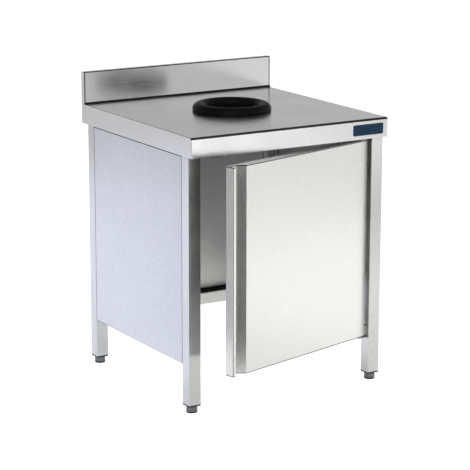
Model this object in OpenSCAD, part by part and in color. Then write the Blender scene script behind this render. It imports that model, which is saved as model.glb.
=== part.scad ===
// Stainless work table with a waste chute in the top and one hinged door.
// X runs to the right, Y to the back, Z up. Millimetres.

/* [Worktop] */
// Width of the worktop
worktop_w = 700; // [600:10:1200]
// Depth of the worktop, splashback included
worktop_d = 700; // [600:10:900]
// Height of the worktop's top face above the floor
worktop_h = 850; // [800:5:950]
// Thickness of the worktop sheet
top_sheet = 1.2; // [0.8:0.1:2]
// Height of the folded apron
apron_h = 62; // [50:1:80]
// Outer radius of the folded edges
fold_r = 3; // [2.5:0.5:6]
// Radius of the welded upright corners
corner_r = 1.5; // [0.5:0.5:3]
// Width of the lip folded in under the front apron
apron_lip = 14; // [6:1:18]
// Height of the splashback above the worktop
splash_h = 104; // [60:2:150]
// Depth of the hollow splashback
splash_t = 20; // [15:1:30]
// Radius of the cove at the foot of the splashback
cove_r = 8; // [3:1:12]

/* [Chute] */
// Distance of the chute's axis in front of the table's middle
chute_front = 0; // [-20:5:60]
// Inner radius of the sleeve below the cut-out
sleeve_r = 86; // [70:1:100]
// Wall of the sleeve
sleeve_wall = 1.5; // [1:0.1:3]
// Length of the sleeve below the worktop's top face
sleeve_drop = 50; // [30:5:80]
// Height of the sleeve's rim above the worktop, inside the ring
sleeve_rim = 12; // [6:1:14]
// Radial width of the rubber ring
ring_w = 42; // [36:1:50]
// Full height of the ring's oval section
ring_oval_h = 36; // [32:1:44]
// Height of the ring above the worktop
ring_rise = 25; // [20:1:30]
// Thickness of the ring's skirt inside the sleeve
skirt_t = 4; // [2:0.5:6]
// Depth of the ring's skirt below the worktop's top face
skirt_drop = 20; // [10:1:28]

/* [Frame] */
// Side of the square leg tube
leg_w = 40; // [30:1:50]
// Wall of the square tubes
tube_wall = 1.5; // [1:0.1:2.5]
// Height of the rails under the top
rail_h = 40; // [25:1:50]
// Set-back of the legs from the worktop's sides
leg_inset_side = 2; // [1.5:0.5:12]
// Set-back of the legs from the worktop's front
leg_inset_front = 22; // [20:1:40]
// Set-back of the legs from the worktop's back
leg_inset_rear = 40; // [30:1:60]
// Height of the stiffening channels under the sheet
omega_h = 18.8; // [14:0.2:25]
// Half width of a channel's web
omega_half = 25; // [18:1:35]
// Width of a channel's flange
omega_flange = 15; // [10:1:20]
// Clear gap between the chute's sleeve and the channels
omega_gap = 20; // [5:1:40]

/* [Panels] */
// Thickness of the panel sheet
panel_sheet = 1; // [0.8:0.1:1.5]
// Height of the panels' lower edge above the floor
panel_bottom = 149; // [100:1:250]
// Depth and height of the box fold along the back panel's lower edge
ledge_w = 40; // [20:1:50]
// Distance from the rear legs' back face to the back panel's front face
back_inset = 14; // [5:1:20]
// Depth of the panels' riveted side flanges
panel_flange = 15; // [12:1:20]
// Width of the panels' top flange
panel_top_flange = 12; // [8:0.5:13]
// Outer radius of the panels' folded edges
panel_fold_r = 2.5; // [2:0.5:4]

/* [Door] */
// Gap between the door and the leg on the hinge side
gap_hinge = 9; // [8:0.5:14]
// Gap between the door and the leg on the pull side
gap_free = 5; // [4:0.5:10]
// Gap between the door's top and the apron's lower edge
gap_top = 11; // [8:0.5:20]
// Height of the door's lower edge above the floor
door_bottom = 144; // [90:1:250]
// Thickness of the door
door_t = 30; // [26:1:34]
// Set-back of the closed door from the legs' front faces
door_recess = 10; // [6:1:14]
// Thickness of the door's skins
skin = 1; // [0.8:0.1:1.2]
// Inner radius of the folds in the skins
skin_fold_r = 1.5; // [1:0.5:3]
// Angle by which the door stands open at rest
door_open = 15; // [0:1:60]

/* [Pull] */
// Width of the grip lip at the door's free edge
lip_w = 13; // [8:1:20]
// Depth of the hem behind the lip
lip_hem = 5; // [4:0.5:8]
// Opening between the lip and the door's face
mouth_w = 43; // [35:1:60]
// Depth of the finger channel
channel_d = 22; // [15:1:22]
// Run of the channel's slanted wall
channel_run = 22; // [12:1:30]
// Radius of the lip's rounded ends
lip_end_r = 6; // [2:1:8]

/* [Hinge] */
// Distance of the pivot from the door's hinge edge
pivot_in = 12; // [11:0.5:16]
// Distance of the pivot behind the door's face
pivot_back = 10; // [9.5:0.5:13]
// Radius of the pivot pins
pin_r = 4; // [3:0.5:5]
// Depth of the pins inside the door
pin_reach = 16; // [10:1:22]
// Wall of the bushes
bush_wall = 2.5; // [1.5:0.5:3]
// Radius of the bushes' flanges
bush_flange_r = 8.5; // [8:0.5:9]
// Thickness of the bushes' flanges
bush_flange_t = 2; // [1:0.5:3]
// Thickness of the hinge brackets
bracket_t = 3; // [2:0.5:4]
// Depth of the hinge brackets
bracket_d = 24; // [20:1:28]
// Height of the lower bracket's upright flange
bracket_flange = 38; // [32:1:60]
// Length of the blocks that hold the bushes
block_w = 36; // [30:1:60]
// Height of the blocks that hold the bushes
block_h = 25; // [20:1:40]

/* [Catch] */
// Width of the magnetic catch
catch_w = 44; // [38:1:60]
// Depth of the magnetic catch
catch_d = 14; // [8:1:20]
// Height of the magnetic catch
catch_h = 17; // [16:1:24]
// Thickness of the catch's bracket
catch_plate = 2; // [1:0.5:2.5]
// Distance of the catch from the leg on the pull side
catch_from_leg = 60; // [30:5:200]
// Height of the strike plate on the door
strike_h = 12; // [10:1:24]
// Thickness of the strike plate on the door
strike_t = 1.5; // [1:0.5:3]
// Gap between the strike plate and the magnet with the door closed
catch_gap = 0.5; // [0.3:0.1:1]

/* [Feet] */
// Visible height of the feet with the screws right in
foot_h = 22; // [18:1:30]
// Radius of the feet
foot_r = 17; // [13:0.5:18]
// Thickness of the foot pads
pad_h = 5; // [4:0.5:8]
// Radius of the foot screws
screw_r = 5; // [4:0.5:6]
// Length of screw above the plug's flange
screw_up = 46; // [40:1:80]
// Radius of the pad's boss inside the foot
boss_r = 6; // [4:0.5:8]
// Height of the pad's boss
boss_h = 3.5; // [2:0.5:6]
// Bevel of a foot's upper edge
foot_bevel = 1; // [0.5:0.1:2]
// Bevel of a pad's lower edge
pad_bevel = 0.8; // [0.3:0.1:1.5]
// Thickness of the plugs' flanges
plug_flange = 2; // [1:0.5:3]
// Depth of the plugs inside the legs
plug_depth = 30; // [20:1:36]

/* [Badge] */
// Width of the blank badge plate
badge_w = 112; // [60:2:140]
// Height of the blank badge plate
badge_h = 34; // [20:1:40]
// Thickness of the badge plate
badge_t = 0.8; // [0.5:0.1:2]
// Distance from the badge's right end to the worktop's side
badge_from_side = 17; // [10:1:60]
// Distance of the badge's middle below the apron's middle
badge_below = 2; // [0:0.5:8]
// Corner radius of the badge
badge_r = 5; // [2:1:8]

/* [Hidden] */

left = -1;
right = 1;
front = -1;
rear = 1;

// Steps of a drawn bend and of a full turn
bend_steps = 6;
round_fn = 96;
small_fn = 32;
oval_steps = 48;

// Clearances: a turning or screwed fit, a pushed fit, and how far a cut runs past a face
running = 0.05;
pushed = 0.1;
past = 1;

// Stainless steel and the other finishes, as plain colours
steel = [0.78, 0.79, 0.80];
steel_dark = [0.52, 0.53, 0.54];
rubber = [0.03, 0.03, 0.03];
plastic = [0.08, 0.08, 0.08];
nylon = [0.88, 0.87, 0.82];
navy = [0.07, 0.13, 0.28];
board = [0.72, 0.62, 0.45];

// Heights
apron_z = worktop_h - apron_h;
frame_top = worktop_h - top_sheet - omega_h;
rail_z = frame_top - rail_h;
tube_z = foot_h + plug_flange;

// Frame in plan
frame_x = worktop_w/2 - leg_inset_side;
frame_front = -worktop_d/2 + leg_inset_front;
frame_rear = worktop_d/2 - leg_inset_rear;
leg_inner_x = frame_x - leg_w;
bay_front = frame_front + leg_w;
bay_rear = frame_rear - leg_w;
back_y = frame_rear - back_inset;

// Chute
chute_y = -chute_front;
collar_r = sleeve_r + sleeve_wall;
ring_mid_r = sleeve_r - skirt_t + ring_w/2;
seat_step = 0.3;
omega_end_gap = 1;
omega_off = collar_r + omega_gap + omega_half + omega_flange;

// Door, closed, and its pivot
door_w = 2*leg_inner_x - gap_hinge - gap_free;
door_h = apron_z - gap_top - door_bottom;
door_x = -leg_inner_x + gap_free;
door_y = frame_front + door_recess;
pivot_x = leg_inner_x - gap_hinge - pivot_in;
pivot_y = door_y + pivot_back;
mouth_x = lip_w + mouth_w;
channel_x = mouth_x - channel_run;
bush_r = pin_r + running + bush_wall;
thrust_gap = 0.1;
bracket_z = door_bottom - bush_flange_t - thrust_gap - bracket_t;
bracket_end_gap = 1;

// The door's face in plan, from the end of its channel to its hinge edge
face_path = [
    [skin, channel_d], [channel_x, channel_d], [mouth_x, 0], [door_w, 0], [door_w, door_t - skin]
];

// Catch
catch_x = -leg_inner_x + catch_from_leg;
catch_y = door_y + door_t + strike_t + catch_gap;
catch_z = rail_z - catch_plate;

// Bolts M6 with their nuts, screws M5 and M3.5, and rivets
bolt_r = 3;
bolt_head_h = 4;
bolt_hex_r = 5.77;
bolt_tail = 1;
nut_h = 5;
m5_r = 2.5;
m5_head_r = 4.6;
m5_head_h = 2.5;
m5_len = 12;
m35_r = 1.75;
m35_head_r = 3.4;
m35_head_h = 1.6;
m35_len = 9;
rivet_r = 1.6;
rivet_head_r = 3.2;
rivet_crown_r = 1.9;
rivet_head_h = 1;
rivet_tail = 1;
rivet_rows = 3;
rivet_from_end = 60;
rivet_in = 9;
m5_pitch = 16;
m5_up = 10;
m5_from_pivot = 14;
m5_edge = 8;
catch_screw_gap = 24;

// The origin lies on the floor in the middle of the space that the table takes with its door at rest
door_reach_y = pivot_y - (door_w - pivot_in)*sin(door_open) - pivot_back*cos(door_open);
plan_y = -(min(door_reach_y, -worktop_d/2) + worktop_d/2)/2;

function arc(c, r, a0, a1) =
    [for (k = [0:bend_steps]) c + r*[cos(a0 + (a1 - a0)*k/bend_steps), sin(a0 + (a1 - a0)*k/bend_steps)]];
function unit(v) = v/norm(v);
function leftward(v) = [-v[1], v[0]];
function turned(v, a) = [v[0]*cos(a) - v[1]*sin(a), v[0]*sin(a) + v[1]*cos(a)];
function reversed(v) = [for (k = [len(v) - 1:-1:0]) v[k]];

// Points of one bend of a folded sheet, off millimetres to the left of its path
function bend(path, i, t, r, off) =
    let (
        d0 = unit(path[i] - path[i - 1]),
        d1 = unit(path[i + 1] - path[i]),
        a = atan2(d0[0]*d1[1] - d0[1]*d1[0], d0*d1),
        s = sign(a),
        path_r = s > 0 ? r + t : r,
        c = path[i] - d0*path_r*tan(abs(a)/2) + leftward(d0)*s*path_r,
        start = -leftward(d0)*s*(path_r - s*off)
    )
    [for (k = [0:bend_steps]) c + turned(start, a*k/bend_steps)];

// One side of a folded sheet that follows a path, and the sheet's whole outline
function sheet_side(path, t, r, off) =
    let (n = len(path) - 1)
    concat(
        [path[0] + leftward(unit(path[1] - path[0]))*off],
        [for (i = [1:n - 1]) each bend(path, i, t, r, off)],
        [path[n] + leftward(unit(path[n] - path[n - 1]))*off]
    );
function sheet_outline(path, t, r) =
    concat(sheet_side(path, t, r, 0), reversed(sheet_side(path, t, r, t)));

// Extrusions of an outline drawn in YZ, XZ or XY
module along_x(x0, x1) {
    translate([x0, 0, 0]) rotate([90, 0, 90]) linear_extrude(x1 - x0) children();
}
module along_y(y0, y1) {
    translate([0, y1, 0]) rotate([90, 0, 0]) linear_extrude(y1 - y0) children();
}
module along_z(z0, z1) {
    translate([0, 0, z0]) linear_extrude(z1 - z0) children();
}
module block(low, high) {
    translate(low) cube(high - low);
}
module placed() {
    translate([0, plan_y, 0]) children();
}

// The worktop's outline in YZ, and its tray's outline in XZ, both inset by i
function top_section(i) =
    let (
        y0 = -worktop_d/2 + i,
        y1 = worktop_d/2 - i,
        ys = worktop_d/2 - splash_t + i,
        zt = worktop_h - i,
        zs = worktop_h + splash_h - i,
        r = fold_r - i,
        f = cove_r + i,
        low = i > 0 ? apron_z - past : apron_z
    )
    concat(
        [[y0, low]],
        arc([y0 + r, zt - r], r, 180, 90),
        arc([ys - f, zt + f], f, 270, 360),
        arc([ys + r, zs - r], r, 180, 90),
        arc([y1 - r, zs - r], r, 90, 0),
        [[y1, low]]
    );
function tray_section(i) =
    let (
        x = worktop_w/2 - i,
        zt = worktop_h - i,
        r = fold_r - i,
        low = i > 0 ? apron_z - past : apron_z
    )
    concat([[-x, low]], arc([-x + r, zt - r], r, 180, 90), arc([x - r, zt - r], r, 90, 0), [[x, low]]);

module rounded_square(w, d, r) {
    polygon(concat(
        arc([w/2 - r, d/2 - r], r, 0, 90),
        arc([-w/2 + r, d/2 - r], r, 90, 180),
        arc([-w/2 + r, -d/2 + r], r, 180, 270),
        arc([w/2 - r, -d/2 + r], r, 270, 360)
    ));
}

module worktop_outside() {
    splash_y = worktop_d/2 - splash_t;
    intersection() {
        along_x(-worktop_w/2, worktop_w/2) polygon(top_section(0));
        union() {
            along_y(-worktop_d/2, worktop_d/2) polygon(tray_section(0));
            block(
                [-worktop_w/2, splash_y - cove_r, worktop_h - fold_r],
                [worktop_w/2, worktop_d/2, worktop_h + splash_h]
            );
        }
        along_z(0, worktop_h + splash_h + past) rounded_square(worktop_w, worktop_d, corner_r);
    }
}

module worktop_inside() {
    splash_y = worktop_d/2 - splash_t;
    top = worktop_h + splash_h + past;
    intersection() {
        along_x(-worktop_w/2 - past, worktop_w/2 + past) polygon(top_section(top_sheet));
        union() {
            along_y(-worktop_d/2, worktop_d/2) polygon(tray_section(top_sheet));
            block(
                [-worktop_w/2 + top_sheet, splash_y - cove_r - past, worktop_h - top_sheet - past],
                [worktop_w/2 - top_sheet, worktop_d/2, top]
            );
            block([-worktop_w/2 - past, splash_y, worktop_h], [worktop_w/2 + past, worktop_d/2, top]);
        }
    }
}

module worktop_sheet() {
    color(steel) {
        difference() {
            worktop_outside();
            worktop_inside();
            translate([0, chute_y, worktop_h - top_sheet - past])
                cylinder(r = collar_r, h = top_sheet + 2*past, $fn = round_fn);
        }
        block(
            [-worktop_w/2 + top_sheet, -worktop_d/2 + top_sheet, apron_z],
            [worktop_w/2 - top_sheet, -worktop_d/2 + apron_lip, apron_z + top_sheet]
        );
    }
}

module splash_cap(side) {
    x = side*(worktop_w - top_sheet)/2;
    color(steel)
        along_x(x - top_sheet/2, x + top_sheet/2)
            intersection() {
                polygon(top_section(top_sheet));
                translate([worktop_d/2 - splash_t, worktop_h]) square([splash_t, splash_h]);
            }
}

// Channel under the sheet; end is front or rear of the chute
module omega(end) {
    zt = worktop_h - 2*top_sheet;
    path = [
        [-omega_half - omega_flange, zt], [-omega_half, zt], [-omega_half, frame_top],
        [omega_half, frame_top], [omega_half, zt], [omega_half + omega_flange, zt]
    ];
    color(steel_dark)
        difference() {
            translate([0, chute_y + end*omega_off, 0])
                along_x(-frame_x + omega_end_gap, frame_x - omega_end_gap)
                    polygon(sheet_outline(path, top_sheet, top_sheet));
            at_bolts() bolt_hole();
        }
}

// The four fixing bolts stand in the side rails, under the channels
module at_bolts() {
    for (side = [left, right], end = [front, rear])
        translate([side*(frame_x - leg_w/2), chute_y + end*omega_off, 0]) children();
}
module bolt_hole() {
    along_z(rail_z - past, frame_top + top_sheet + past) circle(r = bolt_r + pushed, $fn = small_fn);
}
module worktop_bolts() {
    color(steel)
        at_bolts() {
            along_z(rail_z - bolt_head_h, rail_z) circle(r = bolt_hex_r, $fn = 6);
            along_z(rail_z, frame_top + top_sheet + nut_h + bolt_tail) circle(r = bolt_r, $fn = small_fn);
        }
}
module worktop_nuts() {
    color(steel)
        at_bolts()
            along_z(frame_top + top_sheet, frame_top + top_sheet + nut_h)
                difference() {
                    circle(r = bolt_hex_r, $fn = 6);
                    circle(r = bolt_r + running, $fn = small_fn);
                }
}

module chute_collar() {
    color(steel)
        translate([0, chute_y, 0])
            rotate_extrude($fn = round_fn)
                difference() {
                    translate([sleeve_r, worktop_h - sleeve_drop])
                        square([sleeve_wall, sleeve_drop + sleeve_rim]);
                    translate([0, worktop_h - skirt_drop])
                        square([sleeve_r + seat_step, skirt_drop + sleeve_rim + past]);
                }
}

// Oval section of the ring, cut flat where it lies on the sheet, with a skirt inside the sleeve
module ring_section() {
    step = 360/oval_steps;
    oval = [for (k = [0:oval_steps - 1]) [ring_w/2*cos(k*step), ring_oval_h/2*sin(k*step)]];
    mid_z = ring_rise - ring_oval_h/2;
    skirt_r = sleeve_r - skirt_t;
    skirt_z = -skirt_drop + skirt_t/2;
    difference() {
        union() {
            intersection() {
                translate([ring_mid_r, mid_z]) polygon(oval);
                translate([ring_mid_r - ring_w, 0]) square([2*ring_w, ring_oval_h]);
            }
            translate([skirt_r, skirt_z]) square([skirt_t, mid_z - skirt_z]);
            translate([skirt_r + skirt_t/2, skirt_z]) circle(r = skirt_t/2, $fn = small_fn);
        }
        translate([sleeve_r + seat_step - pushed, -past])
            square([sleeve_wall - seat_step + 2*pushed, sleeve_rim + pushed + past]);
    }
}
module chute_ring() {
    color(rubber)
        translate([0, chute_y, worktop_h]) rotate_extrude($fn = round_fn) ring_section();
}

module badge_plate() {
    x = worktop_w/2 - badge_from_side - badge_w/2;
    z = apron_z + apron_h/2 - badge_below;
    color(navy)
        along_y(-worktop_d/2 - badge_t, -worktop_d/2)
            translate([x, z]) rounded_square(badge_w, badge_h, badge_r);
}

// Square tube along Z, X or Y
module tube_section(w, h) {
    difference() {
        square([w, h], center = true);
        square([w - 2*tube_wall, h - 2*tube_wall], center = true);
    }
}
module at_leg(side, end) {
    y = end < 0 ? frame_front + leg_w/2 : frame_rear - leg_w/2;
    translate([side*(frame_x - leg_w/2), y, 0]) children();
}

module leg(side, end) {
    color(steel)
        difference() {
            at_leg(side, end) along_z(tube_z, frame_top) tube_section(leg_w, leg_w);
            at_rivets() rivet_hole();
            at_lower_bracket_screws() screw_hole(m5_r, m5_len);
        }
}

module cross_rail(end) {
    y = end < 0 ? frame_front + leg_w/2 : frame_rear - leg_w/2;
    color(steel)
        difference() {
            along_x(-leg_inner_x, leg_inner_x) translate([y, rail_z + rail_h/2]) tube_section(leg_w, rail_h);
            at_upper_bracket_screws() screw_hole(m5_r, m5_len);
            at_catch_screws() screw_hole(m35_r, m35_len);
        }
}
module side_rail(side) {
    color(steel)
        difference() {
            along_y(bay_front, bay_rear)
                translate([side*(frame_x - leg_w/2), rail_z + rail_h/2]) tube_section(leg_w, rail_h);
            at_bolts() bolt_hole();
        }
}

module plug(side, end) {
    inner = leg_w - 2*tube_wall - 2*pushed;
    color(plastic)
        at_leg(side, end)
            difference() {
                union() {
                    along_z(foot_h, tube_z) square(leg_w, center = true);
                    along_z(tube_z, tube_z + plug_depth) square(inner, center = true);
                }
                along_z(foot_h - past, tube_z + plug_depth + past)
                    circle(r = screw_r + running, $fn = small_fn);
            }
}

// Foot: a sleeve that turns with its screw, over a pad that stays still
module foot_screw(side, end) {
    color(steel_dark)
        at_leg(side, end)
            difference() {
                union() {
                    along_z(pad_h, foot_h - foot_bevel) circle(r = foot_r, $fn = round_fn);
                    translate([0, 0, foot_h - foot_bevel])
                        cylinder(r1 = foot_r, r2 = foot_r - foot_bevel, h = foot_bevel, $fn = round_fn);
                    along_z(foot_h, tube_z + screw_up) circle(r = screw_r, $fn = small_fn);
                }
                along_z(pad_h - past, pad_h + boss_h + pushed) circle(r = boss_r + running, $fn = small_fn);
            }
}
module foot_pad(side, end) {
    color(plastic)
        at_leg(side, end) {
            cylinder(r1 = foot_r - pad_bevel, r2 = foot_r, h = pad_bevel, $fn = round_fn);
            along_z(pad_bevel, pad_h) circle(r = foot_r, $fn = round_fn);
            along_z(pad_h, pad_h + boss_h) circle(r = boss_r, $fn = small_fn);
        }
}

// Side panel: a folded tray flush with the legs' outer faces
module side_panel(side) {
    relief = panel_fold_r;
    r_in = panel_fold_r - panel_sheet;
    profile = [
        [-frame_x + panel_top_flange, rail_z], [-frame_x, rail_z], [-frame_x, panel_bottom],
        [-leg_inner_x, panel_bottom], [-leg_inner_x, panel_bottom + panel_flange]
    ];
    plan = [
        [-frame_x + panel_flange, bay_rear], [-frame_x, bay_rear],
        [-frame_x, bay_front], [-frame_x + panel_flange, bay_front]
    ];
    color(steel)
        difference() {
            mirror([side > 0 ? 1 : 0, 0, 0]) {
                along_y(bay_front + relief, bay_rear - relief)
                    polygon(sheet_outline(profile, panel_sheet, r_in));
                along_z(panel_bottom + relief, rail_z - relief)
                    polygon(sheet_outline(plan, panel_sheet, r_in));
            }
            at_rivets() rivet_hole();
        }
}

module back_panel() {
    relief = panel_fold_r;
    r_in = panel_fold_r - panel_sheet;
    ledge_z = panel_bottom + ledge_w;
    ledge_y = back_y - ledge_w;
    profile = [
        [back_y - panel_top_flange, rail_z - panel_sheet], [back_y, rail_z - panel_sheet], [back_y, ledge_z],
        [ledge_y, ledge_z], [ledge_y, panel_bottom], [ledge_y + panel_flange, panel_bottom]
    ];
    color(steel)
        difference() {
            union() {
                along_x(-leg_inner_x + panel_sheet, leg_inner_x - panel_sheet)
                    polygon(sheet_outline(profile, panel_sheet, r_in));
                for (side = [left, right])
                    mirror([side > 0 ? 1 : 0, 0, 0])
                        block(
                            [-leg_inner_x, back_y - panel_flange, ledge_z + relief],
                            [-leg_inner_x + panel_sheet, back_y + panel_sheet, rail_z - relief]
                        );
            }
            at_rivets() rivet_hole();
        }
}

// Rivets point away from the leg that they hold
module at_rivets() {
    low = panel_bottom + rivet_from_end;
    step = (rail_z - low - rivet_from_end)/(rivet_rows - 1);
    for (side = [left, right], k = [0:rivet_rows - 1]) {
        translate([side*(frame_x - rivet_in), bay_front + panel_sheet, low + k*step])
            rotate([-90, 0, 0]) children();
        translate([side*(frame_x - rivet_in), bay_rear - panel_sheet, low + k*step])
            rotate([90, 0, 0]) children();
        translate([side*(leg_inner_x - panel_sheet), back_y - rivet_in, low + k*step])
            rotate([0, -side*90, 0]) children();
    }
}
module rivet_hole() {
    depth = panel_sheet + tube_wall + rivet_tail;
    along_z(-depth - past, past) circle(r = rivet_r + running, $fn = small_fn);
}
module panel_rivets() {
    depth = panel_sheet + tube_wall + rivet_tail;
    color(steel)
        at_rivets() {
            along_z(-depth, 0) circle(r = rivet_r, $fn = small_fn);
            cylinder(r1 = rivet_head_r, r2 = rivet_crown_r, h = rivet_head_h, $fn = small_fn);
        }
}

// The door is drawn closed, from its pull-side front lower corner, and turned to its rest pose
module on_door() {
    translate([pivot_x, pivot_y, door_bottom]) rotate(door_open)
        translate([door_x - pivot_x, door_y - pivot_y, 0]) children();
}
module at_pivot() {
    translate([door_w - pivot_in, pivot_back, 0]) children();
}

module door_outer_skin() {
    end_plate = concat(sheet_side(face_path, skin, skin_fold_r, skin), [[skin, door_t - skin]]);
    color(steel)
        on_door()
            difference() {
                union() {
                    along_z(0, door_h) polygon(sheet_outline(face_path, skin, skin_fold_r));
                    along_z(0, skin) polygon(end_plate);
                    along_z(door_h - skin, door_h) polygon(end_plate);
                }
                at_pivot() along_z(-past, door_h + past) circle(r = bush_r + running, $fn = small_fn);
            }
}

module door_pull_edge() {
    path = [[0, door_t - skin], [0, 0], [lip_w, 0], [lip_w, lip_hem]];
    color(steel)
        on_door()
            intersection() {
                along_z(0, door_h) polygon(sheet_outline(path, skin, skin_fold_r));
                union() {
                    along_y(-past, lip_hem + past)
                        polygon(concat(
                            [[-past, 0]],
                            arc([lip_w - lip_end_r, lip_end_r], lip_end_r, 270, 360),
                            arc([lip_w - lip_end_r, door_h - lip_end_r], lip_end_r, 0, 90),
                            [[-past, door_h]]
                        ));
                    block([-past, lip_hem, 0], [lip_w, door_t, door_h]);
                }
            }
}

module door_inner_skin() {
    color(steel) on_door() block([0, door_t - skin, 0], [door_w, door_t, door_h]);
}

module pivot_block_space(z, slack) {
    x0 = door_w - skin - block_w - slack;
    x1 = door_w - skin + slack;
    y0 = skin - slack;
    y1 = door_t - skin + slack;
    along_z(z - slack, z + block_h + slack)
        polygon([[x0, y0], [x1 - skin_fold_r, y0], [x1, y0 + skin_fold_r], [x1, y1], [x0, y1]]);
}
module pivot_block(z) {
    color(steel_dark)
        on_door()
            difference() {
                pivot_block_space(z, 0);
                at_pivot() along_z(z - past, z + block_h + past) circle(r = bush_r + running, $fn = small_fn);
            }
}
module door_core() {
    color(board)
        on_door()
            difference() {
                block(
                    [mouth_x + skin_fold_r, skin, skin],
                    [door_w - skin - skin_fold_r, door_t - skin, door_h - skin]
                );
                pivot_block_space(skin, pushed);
                pivot_block_space(door_h - skin - block_h, pushed);
            }
}

// Flanged bush, drawn for the door's lower end
module bush() {
    difference() {
        union() {
            along_z(-bush_flange_t, 0) circle(r = bush_flange_r, $fn = small_fn);
            along_z(0, skin + block_h) circle(r = bush_r, $fn = small_fn);
        }
        along_z(-bush_flange_t - past, skin + block_h + past) circle(r = pin_r + running, $fn = small_fn);
    }
}
module bush_bottom() {
    color(nylon) on_door() at_pivot() bush();
}
module bush_top() {
    color(nylon) on_door() at_pivot() translate([0, 0, door_h]) mirror([0, 0, 1]) bush();
}

module strike_plate() {
    color(steel_dark)
        on_door()
            block(
                [catch_x - door_x, door_t, door_h - skin - strike_h],
                [catch_x + catch_w - door_x, door_t + strike_t, door_h - skin]
            );
}

// Hinge brackets and pins stand on the frame
module hinge_bracket_bottom() {
    path = [
        [pivot_x - bracket_d/2, bracket_z], [leg_inner_x, bracket_z],
        [leg_inner_x, bracket_z + bracket_t + bracket_flange]
    ];
    color(steel)
        difference() {
            along_y(pivot_y - bracket_d/2, pivot_y + bracket_d/2)
                polygon(sheet_outline(path, bracket_t, bracket_t/2));
            translate([pivot_x, pivot_y, 0])
                along_z(bracket_z - past, bracket_z + bracket_t + past)
                    circle(r = pin_r + running, $fn = small_fn);
            at_lower_bracket_screws() screw_recess(m5_r, m5_head_r, m5_head_h, m5_len);
        }
}
module hinge_bracket_top() {
    color(steel)
        difference() {
            block(
                [pivot_x - m5_from_pivot - m5_pitch - m5_edge, pivot_y - bracket_d/2, rail_z - bracket_t],
                [leg_inner_x - bracket_end_gap, pivot_y + bracket_d/2, rail_z]
            );
            translate([pivot_x, pivot_y, 0])
                along_z(rail_z - bracket_t - past, rail_z + past) circle(r = pin_r + running, $fn = small_fn);
            at_upper_bracket_screws() screw_recess(m5_r, m5_head_r, m5_head_h, m5_len);
        }
}
module hinge_pin_bottom() {
    color(steel)
        translate([pivot_x, pivot_y, 0])
            along_z(bracket_z, door_bottom + pin_reach) circle(r = pin_r, $fn = small_fn);
}
module hinge_pin_top() {
    color(steel)
        translate([pivot_x, pivot_y, 0])
            along_z(door_bottom + door_h - pin_reach, rail_z) circle(r = pin_r, $fn = small_fn);
}

// A countersunk screw points along -Z, its head's face at zero
module screw(r, head_r, head_h, length) {
    along_z(-length, -head_h) circle(r = r, $fn = small_fn);
    translate([0, 0, -head_h]) cylinder(r1 = r, r2 = head_r, h = head_h, $fn = small_fn);
}
module screw_hole(r, length) {
    along_z(-length - past, past) circle(r = r + running, $fn = small_fn);
}
module screw_recess(r, head_r, head_h, length) {
    slope = (head_r - r)/head_h;
    screw_hole(r, length);
    translate([0, 0, -head_h])
        cylinder(r1 = r + running, r2 = head_r + running + slope*past, h = head_h + past, $fn = small_fn);
}
module at_lower_bracket_screws() {
    for (k = [0, 1])
        translate([leg_inner_x - bracket_t, pivot_y, bracket_z + bracket_t + m5_up + k*m5_pitch])
            rotate([0, -90, 0]) children();
}
module at_upper_bracket_screws() {
    for (k = [0, 1])
        translate([pivot_x - m5_from_pivot - k*m5_pitch, pivot_y, rail_z - bracket_t])
            rotate([180, 0, 0]) children();
}
module bracket_screws() {
    color(steel) {
        at_lower_bracket_screws() screw(m5_r, m5_head_r, m5_head_h, m5_len);
        at_upper_bracket_screws() screw(m5_r, m5_head_r, m5_head_h, m5_len);
    }
}

// The catch hangs under the front rail, behind the door's upper edge
module at_catch_screws() {
    for (k = [-1, 1])
        translate([catch_x + catch_w/2 + k*catch_screw_gap/2, frame_front + leg_w/2, catch_z])
            rotate([180, 0, 0]) children();
}
module catch_bracket() {
    color(steel)
        difference() {
            block([catch_x, door_y, catch_z], [catch_x + catch_w, catch_y + catch_d, rail_z]);
            at_catch_screws() screw_recess(m35_r, m35_head_r, m35_head_h, m35_len);
        }
}
module catch_magnet() {
    color(plastic)
        block([catch_x, catch_y, catch_z - catch_h], [catch_x + catch_w, catch_y + catch_d, catch_z]);
}
module catch_screws() {
    color(steel) at_catch_screws() screw(m35_r, m35_head_r, m35_head_h, m35_len);
}

placed() worktop_sheet();
placed() splash_cap(left);  // splash_cap_left
placed() splash_cap(right);  // splash_cap_right
placed() omega(front);  // omega_front
placed() omega(rear);  // omega_rear
placed() worktop_nuts();
placed() worktop_bolts();
placed() chute_collar();
placed() chute_ring();
placed() badge_plate();
placed() leg(left, front);  // leg_front_left
placed() leg(right, front);  // leg_front_right
placed() leg(left, rear);  // leg_rear_left
placed() leg(right, rear);  // leg_rear_right
placed() cross_rail(front);  // rail_front
placed() cross_rail(rear);  // rail_rear
placed() side_rail(left);  // rail_left
placed() side_rail(right);  // rail_right
placed() plug(left, front);  // plug_front_left
placed() plug(right, front);  // plug_front_right
placed() plug(left, rear);  // plug_rear_left
placed() plug(right, rear);  // plug_rear_right
placed() foot_screw(left, front);  // foot_screw_front_left
placed() foot_screw(right, front);  // foot_screw_front_right
placed() foot_screw(left, rear);  // foot_screw_rear_left
placed() foot_screw(right, rear);  // foot_screw_rear_right
placed() foot_pad(left, front);  // foot_pad_front_left
placed() foot_pad(right, front);  // foot_pad_front_right
placed() foot_pad(left, rear);  // foot_pad_rear_left
placed() foot_pad(right, rear);  // foot_pad_rear_right
placed() side_panel(left);  // side_panel_left
placed() side_panel(right);  // side_panel_right
placed() back_panel();
placed() panel_rivets();
placed() door_outer_skin();
placed() door_pull_edge();
placed() door_inner_skin();
placed() door_core();
placed() pivot_block(door_h - skin - block_h);  // pivot_block_top
placed() pivot_block(skin);  // pivot_block_bottom
placed() bush_top();
placed() bush_bottom();
placed() strike_plate();
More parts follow.
